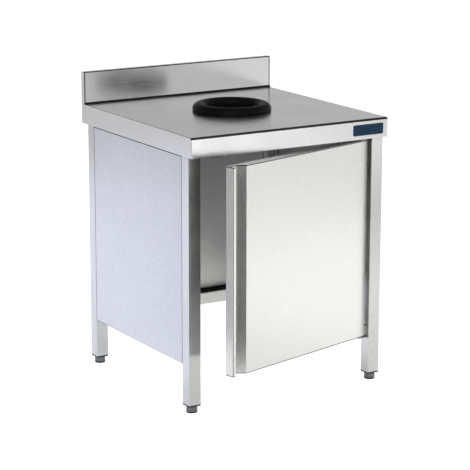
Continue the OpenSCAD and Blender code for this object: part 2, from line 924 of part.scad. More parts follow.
placed() hinge_bracket_top();
placed() hinge_bracket_bottom();
placed() hinge_pin_top();
placed() hinge_pin_bottom();
placed() bracket_screws();
placed() catch_bracket();
placed() catch_magnet();
placed() catch_screws();
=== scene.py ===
"""Looks of a stainless work table with a waste chute, one hinged door and screw feet."""

import logging
import math
from collections.abc import Sequence
from dataclasses import dataclass
from enum import Enum
from functools import cache

import bmesh
import bpy
from mathutils import Matrix, Vector


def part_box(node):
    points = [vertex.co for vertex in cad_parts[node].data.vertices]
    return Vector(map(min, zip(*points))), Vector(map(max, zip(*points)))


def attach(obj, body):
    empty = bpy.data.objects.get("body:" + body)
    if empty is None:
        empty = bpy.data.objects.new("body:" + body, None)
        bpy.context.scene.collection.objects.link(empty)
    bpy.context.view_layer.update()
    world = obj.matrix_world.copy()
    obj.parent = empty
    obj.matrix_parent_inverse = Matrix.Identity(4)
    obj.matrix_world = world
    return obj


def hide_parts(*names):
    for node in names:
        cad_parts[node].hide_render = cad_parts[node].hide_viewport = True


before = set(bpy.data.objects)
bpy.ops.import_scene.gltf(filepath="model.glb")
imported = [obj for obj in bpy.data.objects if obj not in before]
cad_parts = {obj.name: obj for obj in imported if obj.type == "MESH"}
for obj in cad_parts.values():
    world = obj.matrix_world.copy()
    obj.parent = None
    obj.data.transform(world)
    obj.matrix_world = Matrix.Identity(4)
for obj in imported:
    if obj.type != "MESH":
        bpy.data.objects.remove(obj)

LOG = logging.getLogger("work_table")

Link = bpy.types.NodeSocket
Material = bpy.types.Material
Mesh = bpy.types.Mesh
Point = tuple[float, float, float]
Colour = tuple[float, float, float]
Flat = tuple[float, float]
Limits = tuple[float, float]
Seat = tuple[Vector, Vector]

CABINET = "cabinet"
ENDS = ("front", "rear")
SIDES = ("left", "right")
CORNERS = tuple(f"{end}_{side}" for end in ENDS for side in SIDES)
MM = 0.001
RIGHT, REAR, UP = Vector((1.0, 0.0, 0.0)), Vector((0.0, 1.0, 0.0)), Vector((0.0, 0.0, 1.0))
DOOR_OPEN = math.radians(15.0)
SOFT_ANGLE = math.radians(32.0)
WELD_REACH = 1e-6
USUAL_NOISE = (0.3, 0.7)
MIDDLE_NOISE = (0.35, 0.65)


class Grain(Enum):
    """The way the brushing runs, a little aslant, to be upright on the sides that a sheet folds down."""

    ALONG_X = (1.0, 0.0, 0.02)
    ALONG_Z = (0.02, 0.02, 1.0)


class Socket(Enum):
    """The types of input that a tree of geometry nodes can have."""

    NUMBER = "NodeSocketFloat"
    COUNT = "NodeSocketInt"
    MATERIAL = "NodeSocketMaterial"
    PIECE = "NodeSocketObject"


class NodeWork:
    """A tree of nodes, with short calls for the nodes that are used often."""

    tree: bpy.types.NodeTree

    def node(self, kind: str, **values: object) -> bpy.types.Node:
        """Adds a node.

        Args:
            kind: The node's type.
            **values: Its inputs by name, with spaces as underscores: a socket to link, or a value.

        Returns:
            The node.
        """
        made = self.tree.nodes.new(kind)
        for key, value in values.items():
            self.give(made, key.replace("_", " "), value)
        return made

    def give(self, node: bpy.types.Node, key: str | int, value: object) -> None:
        """Links a socket to a node's input, or sets the input's value.

        Args:
            node: The node.
            key: The input's name or place.
            value: A socket to link, or a value.
        """
        if isinstance(value, Link):
            self.tree.links.new(value, node.inputs[key])
        else:
            node.inputs[key].default_value = value

    def ranged(self, value: object, low: float, high: float, to: Limits = (0.0, 1.0)) -> Link:
        """Returns a value moved smoothly from one range to another.

        Args:
            value: The value, or its socket.
            low: Where its range starts.
            high: Where its range ends.
            to: The range that it is moved to.

        Returns:
            The moved value.
        """
        made = self.node(
            "ShaderNodeMapRange", Value=value, From_Min=low, From_Max=high, To_Min=to[0], To_Max=to[1]
        )
        made.interpolation_type = "SMOOTHSTEP"
        return made.outputs["Result"]

    def maths(self, operation: str, *values: object) -> Link:
        """Returns one sum, product or other operation on values or sockets.

        Args:
            operation: The operation's name in Blender.
            *values: What it works on.

        Returns:
            The result.
        """
        made = self.tree.nodes.new("ShaderNodeMath")
        made.operation = operation
        for index, value in enumerate(values):
            self.give(made, index, value)
        return made.outputs[0]


class Shader(NodeWork):
    """A material's node tree, with short calls for what the finishes share."""

    def __init__(self, name: str) -> None:
        """Starts a new material.

        Args:
            name: The material's name, which is its finish's name.
        """
        self.material = bpy.data.materials.new(name)
        self.material.use_nodes = True
        self.tree = self.material.node_tree
        self.tree.nodes.clear()
        self.output = self.tree.nodes.new("ShaderNodeOutputMaterial")
        self.place = self.node("ShaderNodeTexCoord").outputs["Object"]

    def noise(self, scale: float, detail: float = 2.0, stretch: Point | None = None) -> Link:
        """Returns a noise value of about 0.5 on the object's coordinates, which a scale can stretch.

        Args:
            scale: How fine the noise is.
            detail: How many finer layers it has.
            stretch: How much finer it is along each axis.

        Returns:
            The noise.
        """
        place = self.place
        if stretch:
            place = self.node("ShaderNodeMapping", Vector=place, Scale=stretch).outputs["Vector"]
        return self.node("ShaderNodeTexNoise", Scale=scale, Detail=detail, Vector=place).outputs["Fac"]

    def spread(self, noise: Link, low: float = 0.0, high: float = 1.0, span: Limits = USUAL_NOISE) -> Link:
        """Returns the span that a noise takes most of the time, spread over a range."""
        return self.ranged(noise, *span, (low, high))

    def mixed(self, factor: object, first: object, second: object) -> Link:
        """Returns a blend of two colours, each a socket or three numbers.

        Args:
            factor: The second colour's share.
            first: The first colour.
            second: The second colour.

        Returns:
            The blend.
        """
        factor_in, first_in, second_in, result_out = 0, 6, 7, 2
        made = self.tree.nodes.new("ShaderNodeMix")
        made.data_type = "RGBA"
        self.give(made, factor_in, factor)
        for key, value in ((first_in, first), (second_in, second)):
            self.give(made, key, value if isinstance(value, Link) else (*value, 1.0))
        return made.outputs[result_out]

    def edge(self, radius: float) -> Link:
        """Returns a mask that is one at sharp edges and zero away from them.

        Args:
            radius: How wide the edge band is.

        Returns:
            The mask.
        """
        flat, sharp = 0.96, 0.75
        bevel = self.node("ShaderNodeBevel", Radius=radius)
        bevel.samples = 4
        bent = self.tree.nodes.new("ShaderNodeVectorMath")
        bent.operation = "DOT_PRODUCT"
        self.give(bent, 0, bevel.outputs["Normal"])
        self.give(bent, 1, self.node("ShaderNodeNewGeometry").outputs["Normal"])
        return self.ranged(bent.outputs["Value"], flat, sharp)

    def crevice(self, reach: float) -> Link:
        """Returns a mask that is one in narrow gaps and inner corners, where painted shade goes.

        Args:
            reach: How wide a gap can be.

        Returns:
            The mask.
        """
        clear, hidden = 0.92, 0.50
        open_sky = self.node("ShaderNodeAmbientOcclusion", Distance=reach)
        open_sky.samples = 6
        return self.ranged(open_sky.outputs["AO"], clear, hidden)

    def window(self, value: object, limits: Limits, soft: float) -> Link:
        """Returns one where a value lies between two limits and zero outside them, with soft ends.

        Args:
            value: The value's socket.
            limits: The two limits.
            soft: How far the ends fade out.

        Returns:
            The mask.
        """
        low, high = limits
        above = self.ranged(value, low - soft, low)
        below = self.ranged(value, high, high + soft, (1.0, 0.0))
        return self.maths("MULTIPLY", above, below)

    def along(self, grain: Grain) -> Link:
        """Returns the direction of the brushing.

        Args:
            grain: The way that it runs on the piece.

        Returns:
            The direction.
        """
        turned = self.node("ShaderNodeVectorTransform", Vector=grain.value)
        turned.vector_type, turned.convert_from, turned.convert_to = "VECTOR", "OBJECT", "WORLD"
        return turned.outputs["Vector"]

    def bump(self, height: Link, depth: float, strength: float) -> Link:
        """Returns a normal that a height bends."""
        return self.node("ShaderNodeBump", Height=height, Distance=depth, Strength=strength).outputs["Normal"]

    def finished(self, **inputs: object) -> Material:
        """Ends the material in one Principled shader.

        Args:
            **inputs: The shader's inputs by name, with spaces as underscores.

        Returns:
            The material.
        """
        shader = self.node("ShaderNodeBsdfPrincipled", **inputs)
        self.tree.links.new(shader.outputs["BSDF"], self.output.inputs["Surface"])
        return self.material


@dataclass(frozen=True)
class DarkLine:
    """Painted shade and dark reflection along a fold or a joint, drawn as a dark line.

    Its limits along X count from the middle to both sides. It crosses the whole of an axis without limits.
    The piece can stand turned about Z at rest, and the limits are then those of the piece turned back.
    """

    x: Limits | None = None
    y: Limits | None = None
    z: Limits | None = None
    turned: float = 0.0


@dataclass(frozen=True)
class Finish:
    """What all finishes of the table have."""

    name: str
    colour: Colour

    def tone(self, share: float) -> Colour:
        """Returns the colour, lighter or darker by a share."""
        return tuple(min(1.0, value * share) for value in self.colour)

    def material(self) -> Material:
        """Returns the finish as a material."""
        raise NotImplementedError


@dataclass(frozen=True)
class BrushedSteel(Finish):
    """Stainless sheet or tube with a fine brushed grain and cloudy patches, and painted shade: dark lines
    along folds and joints, darker edges that are partly wear, and dark gaps.
    """

    roughness: float
    grain: Grain
    mottle: float = 0.05
    # Painted shade and dark reflection, drawn as dark lines along the listed folds and joints.
    dark_lines: tuple[DarkLine, ...] = ()
    # Share of darkening at sharp edges: slight wear, and painted shade and dark reflection.
    rubbed: float = 0.5
    # Share of painted shade in narrow gaps and inner corners.
    grime: float = 0.75
    grain_density: float = 1400.0
    grain_length: float = 18.0
    grain_depth: float = 0.01 * MM
    fleck_density: float = 260.0
    cloud_density: float = 7.0
    cloudiness: float = 0.4
    uneven: float = 0.03
    smudge: float = 0.02
    streak: float = 0.6
    edge_reach: float = 1.2 * MM
    gap_reach: float = 5.0 * MM
    line_softness: float = 0.4 * MM
    edge_tone: float = 0.3
    gap_tone: float = 0.08
    line_tone: float = 0.05

    def material(self) -> Material:
        """Returns the finish as a material."""
        shader = Shader(self.name)
        stretch = tuple(self.grain_length if part == 1.0 else self.grain_density for part in self.grain.value)
        lines = shader.noise(1.0, 3.0, stretch)
        clouds = shader.noise(self.cloud_density)
        flecks = shader.spread(shader.noise(self.fleck_density), -1.0, 1.0, MIDDLE_NOISE)
        patches = shader.spread(clouds, -self.cloudiness, self.cloudiness)
        most = 1.0 + self.cloudiness
        tone = shader.ranged(shader.maths("ADD", flecks, patches), -most, most)
        dark, light = (self.tone(1.0 + sign * self.mottle) for sign in (-1, 1))
        base = shader.mixed(tone, dark, light)
        # Sharp edges darken: slight wear, and painted shade and dark reflection along the edges.
        worn = shader.maths("MULTIPLY", shader.edge(self.edge_reach), self.rubbed)
        base = shader.mixed(worn, base, self.tone(self.edge_tone))
        # Painted shade: narrow gaps and inner corners are darkened where shade falls.
        dirty = shader.maths("MULTIPLY", shader.crevice(self.gap_reach), self.grime)
        base = shader.mixed(dirty, base, self.tone(self.gap_tone))
        # Painted shade and dark reflection: the listed folds and joints are drawn as dark lines.
        for line in self.dark_lines:
            base = shader.mixed(self.lined(shader, line), base, self.tone(self.line_tone))
        brushed = shader.spread(lines, -self.uneven, self.uneven)
        smudged = shader.spread(clouds, self.roughness - self.smudge, self.roughness + self.smudge)
        return shader.finished(
            Base_Color=base,
            Metallic=1.0,
            Roughness=shader.maths("ADD", brushed, smudged),
            Anisotropic=self.streak,
            Anisotropic_Rotation=0.25,
            Tangent=shader.along(self.grain),
            Normal=shader.bump(lines, self.grain_depth, 0.15),
        )

    def lined(self, shader: Shader, line: DarkLine) -> Link:
        """Returns a mask that is one along a dark line.

        Args:
            shader: The material that is being made.
            line: The line.

        Returns:
            The mask.
        """
        place = shader.node("ShaderNodeMapping", Vector=shader.place, Rotation=(0.0, 0.0, -line.turned))
        split = shader.node("ShaderNodeSeparateXYZ", Vector=place.outputs["Vector"])
        sides = (shader.maths("ABSOLUTE", split.outputs["X"]), split.outputs["Y"], split.outputs["Z"])
        mask = None
        for value, limits in zip(sides, (line.x, line.y, line.z)):
            if limits:
                inside = shader.window(value, limits, self.line_softness)
                mask = inside if mask is None else shader.maths("MULTIPLY", mask, inside)
        return mask


@dataclass(frozen=True)
class Moulded(Finish):
    """Rubber or plastic from a mould, with fine pores and scuffed edges."""

    roughness: float
    specular: float = 0.5
    scuffed: Colour = (0.12, 0.12, 0.12)
    pores: float = 900.0
    pore_depth: float = 0.04 * MM
    cloud_density: float = 18.0
    edge_reach: float = 0.8 * MM

    def material(self) -> Material:
        """Returns the finish as a material."""
        shader = Shader(self.name)
        clouds = shader.noise(self.cloud_density, 3.0)
        base = shader.mixed(shader.spread(clouds, span=MIDDLE_NOISE), self.colour, self.tone(1.35))
        scuffs = shader.ranged(clouds, 0.3, 0.6, (0.05, 0.3))
        worn = shader.maths("MULTIPLY", shader.edge(self.edge_reach), scuffs)
        return shader.finished(
            Base_Color=shader.mixed(worn, base, self.scuffed),
            Roughness=shader.spread(clouds, self.roughness - 0.05, self.roughness + 0.06),
            Specular_IOR_Level=self.specular,
            Normal=shader.bump(shader.noise(self.pores), self.pore_depth, 0.4),
        )


@dataclass(frozen=True)
class Enamel(Finish):
    """Glossy baked enamel with a faint orange peel and a worn rim."""

    worn_colour: Colour = (0.10, 0.14, 0.20)
    worn_share: float = 0.3
    rim_reach: float = 0.4 * MM
    peel_density: float = 420.0
    peel_depth: float = 0.03 * MM

    def material(self) -> Material:
        """Returns the finish as a material."""
        shader = Shader(self.name)
        clouds = shader.noise(40.0)
        base = shader.mixed(shader.spread(clouds), self.colour, self.tone(1.3))
        worn = shader.maths("MULTIPLY", shader.edge(self.rim_reach), self.worn_share)
        return shader.finished(
            Base_Color=shader.mixed(worn, base, self.worn_colour),
            Roughness=shader.spread(clouds, 0.30, 0.38),
            Specular_IOR_Level=0.2,
            Normal=shader.bump(shader.noise(self.peel_density), self.peel_depth, 0.3),
        )


@dataclass(frozen=True)
class Board(Finish):
    """Honeycomb board, seen only at the edges of the door's core."""

    cell_density: float = 90.0
    cell_depth: float = 0.8 * MM
    fibre: Point = (600.0, 600.0, 60.0)

    def material(self) -> Material:
        """Returns the finish as a material."""
        shader = Shader(self.name)
        cells = shader.node("ShaderNodeTexVoronoi", Scale=self.cell_density).outputs["Distance"]
        return shader.finished(
            Base_Color=shader.mixed(shader.ranged(cells, 0.1, 0.5), self.tone(0.6), self.colour),
            Roughness=shader.spread(shader.noise(1.0, 4.0, self.fibre), 0.8, 0.95),
            Normal=shader.bump(cells, self.cell_depth, 0.6),
        )


@dataclass(frozen=True)
class WeldMetal(Finish):
    """A ground and pickled weld, greyer than the sheet, with a straw-coloured heat tint."""

    tint: Colour
    cloud_density: float = 160.0
    pit_density: float = 1200.0
    pit_depth: float = 0.03 * MM

    def material(self) -> Material:
        """Returns the finish as a material."""
        shader = Shader(self.name)
        clouds = shader.noise(self.cloud_density, 3.0)
        pits = shader.noise(self.pit_density)
        return shader.finished(
            Base_Color=shader.mixed(shader.ranged(clouds, 0.4, 0.7), self.colour, self.tint),
            Metallic=1.0,
            Roughness=shader.spread(pits, 0.32, 0.48),
            Normal=shader.bump(pits, self.pit_depth, 0.5),
        )


@dataclass(frozen=True)
class StudioFloor:
    """Pale studio floor that shows white, with the object's soft shadow on it."""

    name: str = "studio_floor"
    colour: float = 0.80
    seen: float = 0.80
    mirrored: float = 0.335

    def material(self) -> Material:
        """Returns the finish as a material."""
        shader = Shader(self.name)
        ray = shader.node("ShaderNodeLightPath").outputs
        mirrored = shader.maths("MAXIMUM", ray["Is Glossy Ray"], ray["Is Transmission Ray"])
        lift = shader.maths(
            "ADD",
            shader.maths("MULTIPLY", ray["Is Camera Ray"], self.seen),
            shader.maths("MULTIPLY", mirrored, self.mirrored),
        )
        both = shader.node("ShaderNodeAddShader")
        paint = shader.node("ShaderNodeBsdfDiffuse", Color=(*(self.colour,) * 3, 1.0))
        shader.give(both, 0, paint.outputs[0])
        shader.give(both, 1, shader.node("ShaderNodeEmission", Strength=lift).outputs[0])
        shader.give(shader.output, "Surface", both.outputs[0])
        return shader.material


def extent(node: str) -> Seat:
    """Returns a CAD node's lowest and highest corners at rest."""
    low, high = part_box(node)
    return Vector(low), Vector(high)


def middle(node: str) -> Vector:
    """Returns the middle of a CAD node's box at rest."""
    low, high = extent(node)
    return (low + high) / 2


def turned_back(node: str, angle: float) -> Seat:
    """Returns the corners of a CAD node's box after it is turned back about Z by an angle.

    Args:
        node: The node's name.
        angle: The angle that it stands turned by at rest.

    Returns:
        The lowest and the highest corner.
    """
    turn = Matrix.Rotation(-angle, 3, "Z")
    points = [turn @ vertex.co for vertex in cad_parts[node].data.vertices]
    return tuple(Vector([pick(values) for values in zip(*points)]) for pick in (min, max))


def about(place: float, reach: float) -> Limits:
    """Returns the limits of a band about a place."""
    return place - reach, place + reach


def top_lines() -> tuple[DarkLine, ...]:
    """Returns painted dark lines for the dark reflections and shade in the worktop's front fold, and at the
    foot and the upper edges of its splashback.
    """
    sheet, radius, cove = 1.2 * MM, 3.0 * MM, 8.0 * MM
    low, high = extent("worktop_sheet")
    cap = extent("splash_cap_left")[0]
    wall, face = cap.y - sheet, cap.z
    cove_reach = 0.75 * cove
    return (
        DarkLine(y=(low.y - sheet, low.y + 2.0 * radius), z=(face - 2.1 * radius, face + sheet)),
        DarkLine(y=(wall - cove_reach, wall + sheet), z=(face - sheet, face + cove_reach)),
        DarkLine(y=(wall - sheet, wall + radius), z=(high.z - radius, high.z - 0.2 * radius)),
        DarkLine(
            x=(high.x - 1.3 * radius, high.x - 0.3 * radius),
            y=(wall - sheet, wall + 0.5 * radius),
            z=(face, high.z),
        ),
    )


def panel_lines() -> tuple[DarkLine, ...]:
    """Returns painted shade lines round a side panel's outer face: at its joints with the legs, along its
    lower edge, and a painted shadow just under the apron.
    """
    width, below_top = 2.2 * MM, 3.2 * MM
    low, high = extent("side_panel_right")
    outer = about(high.x, width)
    return (
        DarkLine(x=outer, y=about(low.y, width)),
        DarkLine(x=outer, y=about(high.y, width)),
        DarkLine(x=outer, z=about(low.z, width)),
        DarkLine(x=outer, z=(high.z - below_top - width, high.z - below_top)),
    )


def back_lines() -> tuple[DarkLine, ...]:
    """Returns the shaded top of the box fold along the back panel's lower edge."""
    sheet, fold, ledge = 1.0 * MM, 2.5 * MM, 40.0 * MM
    low, high = extent("back_panel")
    top = low.z + ledge
    return (DarkLine(y=(low.y + fold, high.y - 0.9 * sheet), z=(top - sheet, top + 2.0 * fold)),)


def leg_lines() -> tuple[DarkLine, ...]:
    """Returns a painted shadow line at the legs' lower ends, where they meet their black inserts."""
    low = extent("leg_front_left")[0].z
    return (DarkLine(z=(low - MM, low + 2.2 * MM)),)


def door_lines() -> tuple[DarkLine, ...]:
    """Returns painted dark lines along the upper and lower edges of the door's face, and along the fold at
    its free edge, for their shade and dark reflections.
    """
    inset, width, fold = 0.8 * MM, 1.8 * MM, 1.2 * MM
    low, high = turned_back("door_pull_edge", DOOR_OPEN)
    return (
        DarkLine(z=(high.z - inset - 1.3 * width, high.z - inset)),
        DarkLine(z=(low.z + inset, low.z + inset + width)),
        DarkLine(x=about(abs(low.x), fold), y=about(low.y, fold), turned=DOOR_OPEN),
    )


TOP_STEEL = BrushedSteel("steel_top", (0.68, 0.68, 0.685), 0.20, Grain.ALONG_X, 0.03, top_lines())
PANEL_STEEL = BrushedSteel("steel_panel", (0.64, 0.645, 0.68), 0.34, Grain.ALONG_Z, 0.07, panel_lines())
BACK_STEEL = BrushedSteel("steel_back", (0.82, 0.81, 0.77), 0.40, Grain.ALONG_X, 0.04, back_lines())
FRAME_STEEL = BrushedSteel("steel_frame", (0.60, 0.60, 0.59), 0.18, Grain.ALONG_Z, 0.05, leg_lines(), 0.2)
RAIL_STEEL = BrushedSteel("steel_rail", (0.62, 0.62, 0.61), 0.26, Grain.ALONG_X)
DOOR_STEEL = BrushedSteel("steel_door", (0.80, 0.80, 0.78), 0.30, Grain.ALONG_Z, 0.02, door_lines())
# The inner skin is the door's steel painted darker, as painted shade on the door's inside.
INNER_STEEL = BrushedSteel("steel_door_inner", (0.43, 0.43, 0.41), 0.24, Grain.ALONG_Z, 0.03)
FOOT_STEEL = BrushedSteel("steel_foot", (0.165, 0.17, 0.175), 0.30, Grain.ALONG_X, 0.2)
ZINC = BrushedSteel("steel_zinc", (0.56, 0.57, 0.58), 0.40, Grain.ALONG_X, 0.15)
RUBBER = Moulded("rubber_black", (0.0025, 0.0025, 0.0025), 0.40, 0.06, (0.010, 0.010, 0.010))
PLASTIC = Moulded("plastic_black", (0.02, 0.02, 0.02), 0.5, 0.3)
NYLON = Moulded("nylon_natural", (0.80, 0.79, 0.74), 0.45, scuffed=(0.6, 0.6, 0.56))
NAVY = Enamel("badge_navy", (0.003, 0.026, 0.058))
CORE = Board("core_board", (0.62, 0.50, 0.34))
WELD = WeldMetal("weld_seam", (0.40, 0.40, 0.40), (0.46, 0.38, 0.26))


@cache
def material_of(finish: Finish) -> Material:
    """Returns a finish's material, made once."""
    return finish.material()


def linked(name: str, data: bpy.types.ID) -> bpy.types.Object:
    """Returns a new object in the scene that shows a mesh, a lamp or a camera.

    Args:
        name: The object's name.
        data: What it shows.

    Returns:
        The object.
    """
    piece = bpy.data.objects.new(name, data)
    bpy.context.scene.collection.objects.link(piece)
    return piece


class Tree(NodeWork):
    """A tree of geometry nodes with named inputs."""

    def __init__(self, name: str, **inputs: Socket) -> None:
        """Starts a tree.

        Args:
            name: The tree's name.
            **inputs: The kind of each input that comes after the geometry, by name.
        """
        self.tree = bpy.data.node_groups.new(name, "GeometryNodeTree")
        sockets = self.tree.interface
        sockets.new_socket("Geometry", in_out="INPUT", socket_type="NodeSocketGeometry")
        sockets.new_socket("Geometry", in_out="OUTPUT", socket_type="NodeSocketGeometry")
        self.keys = {
            key: sockets.new_socket(key, in_out="INPUT", socket_type=kind.value).identifier
            for key, kind in inputs.items()
        }
        self.given = self.tree.nodes.new("NodeGroupInput").outputs
        self.end = self.tree.nodes.new("NodeGroupOutput")

    def attach(self, piece: bpy.types.Object, **values: object) -> bpy.types.Modifier:
        """Adds the tree to a piece.

        Args:
            piece: The piece.
            **values: The tree's inputs by name.

        Returns:
            The modifier.
        """
        modifier = piece.modifiers.new(self.tree.name, "NODES")
        modifier.node_group = self.tree
        for key, value in values.items():
            modifier[self.keys[key]] = value
        return modifier

    def softened(self, geometry: Link, soft_angle: object) -> Link:
        """Returns geometry that is welded, and shaded smooth where its edges bend by less than an angle.

        Args:
            geometry: The geometry's socket.
            soft_angle: The angle, or its socket.

        Returns:
            The shaded geometry.
        """
        weld = self.node("GeometryNodeMergeByDistance", Geometry=geometry, Distance=WELD_REACH).outputs[0]
        smooth = self.node("GeometryNodeSetShadeSmooth", Geometry=weld).outputs[0]
        bent = self.node("GeometryNodeInputMeshEdgeAngle").outputs["Unsigned Angle"]
        sharp = self.node("FunctionNodeCompare", A=bent, B=soft_angle)
        sharp.operation = "GREATER_THAN"
        crease = self.node("GeometryNodeSetShadeSmooth", Geometry=smooth, Selection=sharp.outputs[0])
        crease.domain = "EDGE"
        crease.inputs["Shade Smooth"].default_value = False
        return crease.outputs[0]


class FoldSmoother(Tree):
    """Joins a sheet's loose triangles and shades its folds smoothly."""

    def __init__(self) -> None:
        """Builds the tree."""
        super().__init__("fold_smoother", Angle=Socket.NUMBER)
        self.give(self.end, 0, self.softened(self.given[0], self.given["Angle"]))

    def add_to(self, piece: bpy.types.Object) -> None:
        """Adds the tree to a piece, then gives flat faces true normals, so that only bends look curved.

        Args:
            piece: The piece.
        """
        self.attach(piece, Angle=SOFT_ANGLE)
        flat = piece.modifiers.new("flats", "WEIGHTED_NORMAL")
        flat.mode = "FACE_AREA"
        flat.weight = 100
        flat.keep_sharp = True


class Maker(Tree):
    """A tree that makes a piece, which is taken from it as a plain mesh."""

    def placed(self, points: Link, piece: Link, axis: Link | None = None) -> Link:
        """Returns a piece on each point, with its own Z axis turned along an axis, if one is given.

        Args:
            points: The points.
            piece: The piece.
            axis: The axis at each point.

        Returns:
            The pieces.
        """
        made = self.node("GeometryNodeInstanceOnPoints", Points=points, Instance=piece)
        if axis:
            turn = self.node("FunctionNodeAlignRotationToVector", Vector=axis)
            turn.axis = "Z"
            self.give(made, "Rotation", turn.outputs[0])
        return made.outputs[0]

    def swept(self, path: Link, profile: Link, capped: bool = False) -> Link:
        """Returns a profile swept along a path."""
        made = self.node("GeometryNodeCurveToMesh", Curve=path, Profile_Curve=profile, Fill_Caps=capped)
        return made.outputs[0]

    def finish(self, geometry: Link, soft_angle: float = SOFT_ANGLE) -> None:
        """Ends the tree: real geometry, welded, smooth up to an angle, in the material that is given.

        Args:
            geometry: The geometry's socket.
            soft_angle: Edges that bend by less are shaded smooth.
        """
        real = self.node("GeometryNodeRealizeInstances", Geometry=geometry).outputs[0]
        soft = self.softened(real, soft_angle)
        dressed = self.node("GeometryNodeSetMaterial", Geometry=soft, Material=self.given["Material"])
        self.give(self.end, 0, dressed.outputs[0])

    def run(self, name: str, source: Mesh, **values: object) -> Mesh:
        """Runs the tree.

        Args:
            name: The name of the mesh that is made.
            source: The mesh that goes in.
            **values: The tree's inputs by name.

        Returns:
            The result as one plain mesh.
        """
        carrier = linked(name, source)
        modifier = self.attach(carrier, **values)
        graph = bpy.context.evaluated_depsgraph_get()
        mesh = bpy.data.meshes.new_from_object(carrier.evaluated_get(graph), depsgraph=graph)
        mesh.name = name
        carrier.modifiers.remove(modifier)
        bpy.data.objects.remove(carrier)
        return mesh


class SweptRing(Maker):
    """A closed outline swept once round the Z axis."""

    def __init__(self) -> None:
        """Builds the tree."""
        super().__init__("swept_ring", Radius=Socket.NUMBER, Steps=Socket.COUNT, Material=Socket.MATERIAL)
        outline = self.node("GeometryNodeMeshToCurve", Mesh=self.given[0]).outputs[0]
        path = self.node(
            "GeometryNodeCurvePrimitiveCircle", Resolution=self.given["Steps"], Radius=self.given["Radius"]
        )
        self.finish(self.swept(path.outputs[0], outline), math.radians(40.0))


class Fasteners(Maker):
    """One fastener on each point, its own Z axis turned along the point's axis."""

    def __init__(self) -> None:
        """Builds the tree."""
        super().__init__("fasteners", Fastener=Socket.PIECE, Material=Socket.MATERIAL)
        fastener = self.node("GeometryNodeObjectInfo", Object=self.given["Fastener"], As_Instance=True)
        axis = self.node("GeometryNodeInputNamedAttribute", Name="axis")
        axis.data_type = "FLOAT_VECTOR"
        self.finish(self.placed(self.given[0], fastener.outputs["Geometry"], axis.outputs[0]))


class ScrewThread(Maker):
    """A ridge wound round the Z axis, from the height of the point that goes in."""

    def __init__(self) -> None:
        """Builds the tree."""
        sizes = dict.fromkeys(("Turns", "Height", "Root", "Depth"), Socket.NUMBER)
        super().__init__("screw_thread", **sizes, Material=Socket.MATERIAL)
        root = self.given["Root"]
        spiral = self.node(
            "GeometryNodeCurveSpiral",
            Resolution=24,
            Rotations=self.given["Turns"],
            Start_Radius=root,
            End_Radius=root,
            Height=self.given["Height"],
        )
        upright = self.node("GeometryNodeSetCurveNormal", Curve=spiral.outputs[0])
        upright.mode = "Z_UP"
        ridge = self.node("GeometryNodeCurvePrimitiveCircle", Resolution=3, Radius=self.given["Depth"])
        outward = self.node("GeometryNodeTransform", Geometry=ridge.outputs[0], Rotation=(0.0, 0.0, math.pi))
        wound = self.swept(upright.outputs[0], outward.outputs[0], capped=True)
        self.finish(self.placed(self.given[0], wound), math.radians(20.0))


class WeldSeam(Maker):
    """A row of overlapping ripples along each edge of the mesh that goes in."""

    def __init__(self) -> None:
        """Builds the tree."""
        super().__init__("weld_seam", Pitch=Socket.NUMBER, Width=Socket.NUMBER, Material=Socket.MATERIAL)
        path = self.node("GeometryNodeMeshToCurve", Mesh=self.given[0])
        steps = self.node("GeometryNodeResampleCurve", Curve=path.outputs[0])
        steps.mode = "LENGTH"
        self.give(steps, "Length", self.given["Pitch"])
        along = self.node("GeometryNodeInputTangent").outputs[0]
        ripple = self.node("GeometryNodeMeshUVSphere", Segments=10, Rings=6, Radius=self.given["Width"])
        self.finish(self.placed(steps.outputs[0], ripple.outputs[0], along), math.radians(60.0))


def around(count: int) -> list[tuple[int, int]]:
    """Returns each place of a closed ring with the next one."""
    return [(place, (place + 1) % count) for place in range(count)]


def stacked(name: str, loops: Sequence[Sequence[Point]], poles: Sequence[Point] = ()) -> Mesh:
    """Returns a closed solid through loops of equal length.

    Args:
        name: The mesh's name.
        loops: The loops, from one end to the other.
        poles: The points that close its two ends. Without them the ends are flat.

    Returns:
        The mesh.
    """
    work = bmesh.new()
    rings = [[work.verts.new(point) for point in loop] for loop in loops]
    pairs = around(len(rings[0]))
    for lower, upper in zip(rings, rings[1:]):
        for here, there in pairs:
            work.faces.new((lower[here], lower[there], upper[there], upper[here]))
    ends = (rings[0], rings[-1])
    for ring, pole in zip(ends, poles):
        tip = work.verts.new(pole)
        for here, there in pairs:
            work.faces.new((ring[here], ring[there], tip))
    if not poles:
        for ring in ends:
            work.faces.new(ring)
    bmesh.ops.recalc_face_normals(work, faces=work.faces)
    mesh = bpy.data.meshes.new(name)
    work.to_mesh(mesh)
    work.free()
    return mesh


@dataclass(frozen=True)
class Station:
    """One ring of a turned solid: its radius and height, and half the width across flats, if it has any."""

    radius: float
    height: float
    flats: float = math.inf

    def reach(self, angle: float) -> float:
        """Returns how far the ring reaches from the axis in a direction.

        Args:
            angle: The direction.

        Returns:
            The distance.
        """
        sixth = math.pi / 3
        from_flat = (angle % sixth) - sixth / 2
        return min(self.radius, self.flats / math.cos(from_flat))

    def loop(self, steps: int) -> list[Point]:
        """Returns the ring's points.

        Args:
            steps: How many there are.

        Returns:
            The points, counter-clockwise.
        """
        points = []
        for step in range(steps):
            angle = math.tau * step / steps
            reach = self.reach(angle)
            points.append((reach * math.cos(angle), reach * math.sin(angle), self.height))
        return points


@dataclass(frozen=True)
class Turned:
    """A solid turned on a lathe, with six flats where its stations say so."""

    stations: Sequence[Station]
    steps: int = 48

    def mesh(self, name: str) -> Mesh:
        """Returns the solid as a closed mesh, its first and last stations closed to a point on the axis."""
        loops = [station.loop(self.steps) for station in self.stations]
        return stacked(name, loops, [(0.0, 0.0, self.stations[index].height) for index in (0, -1)])


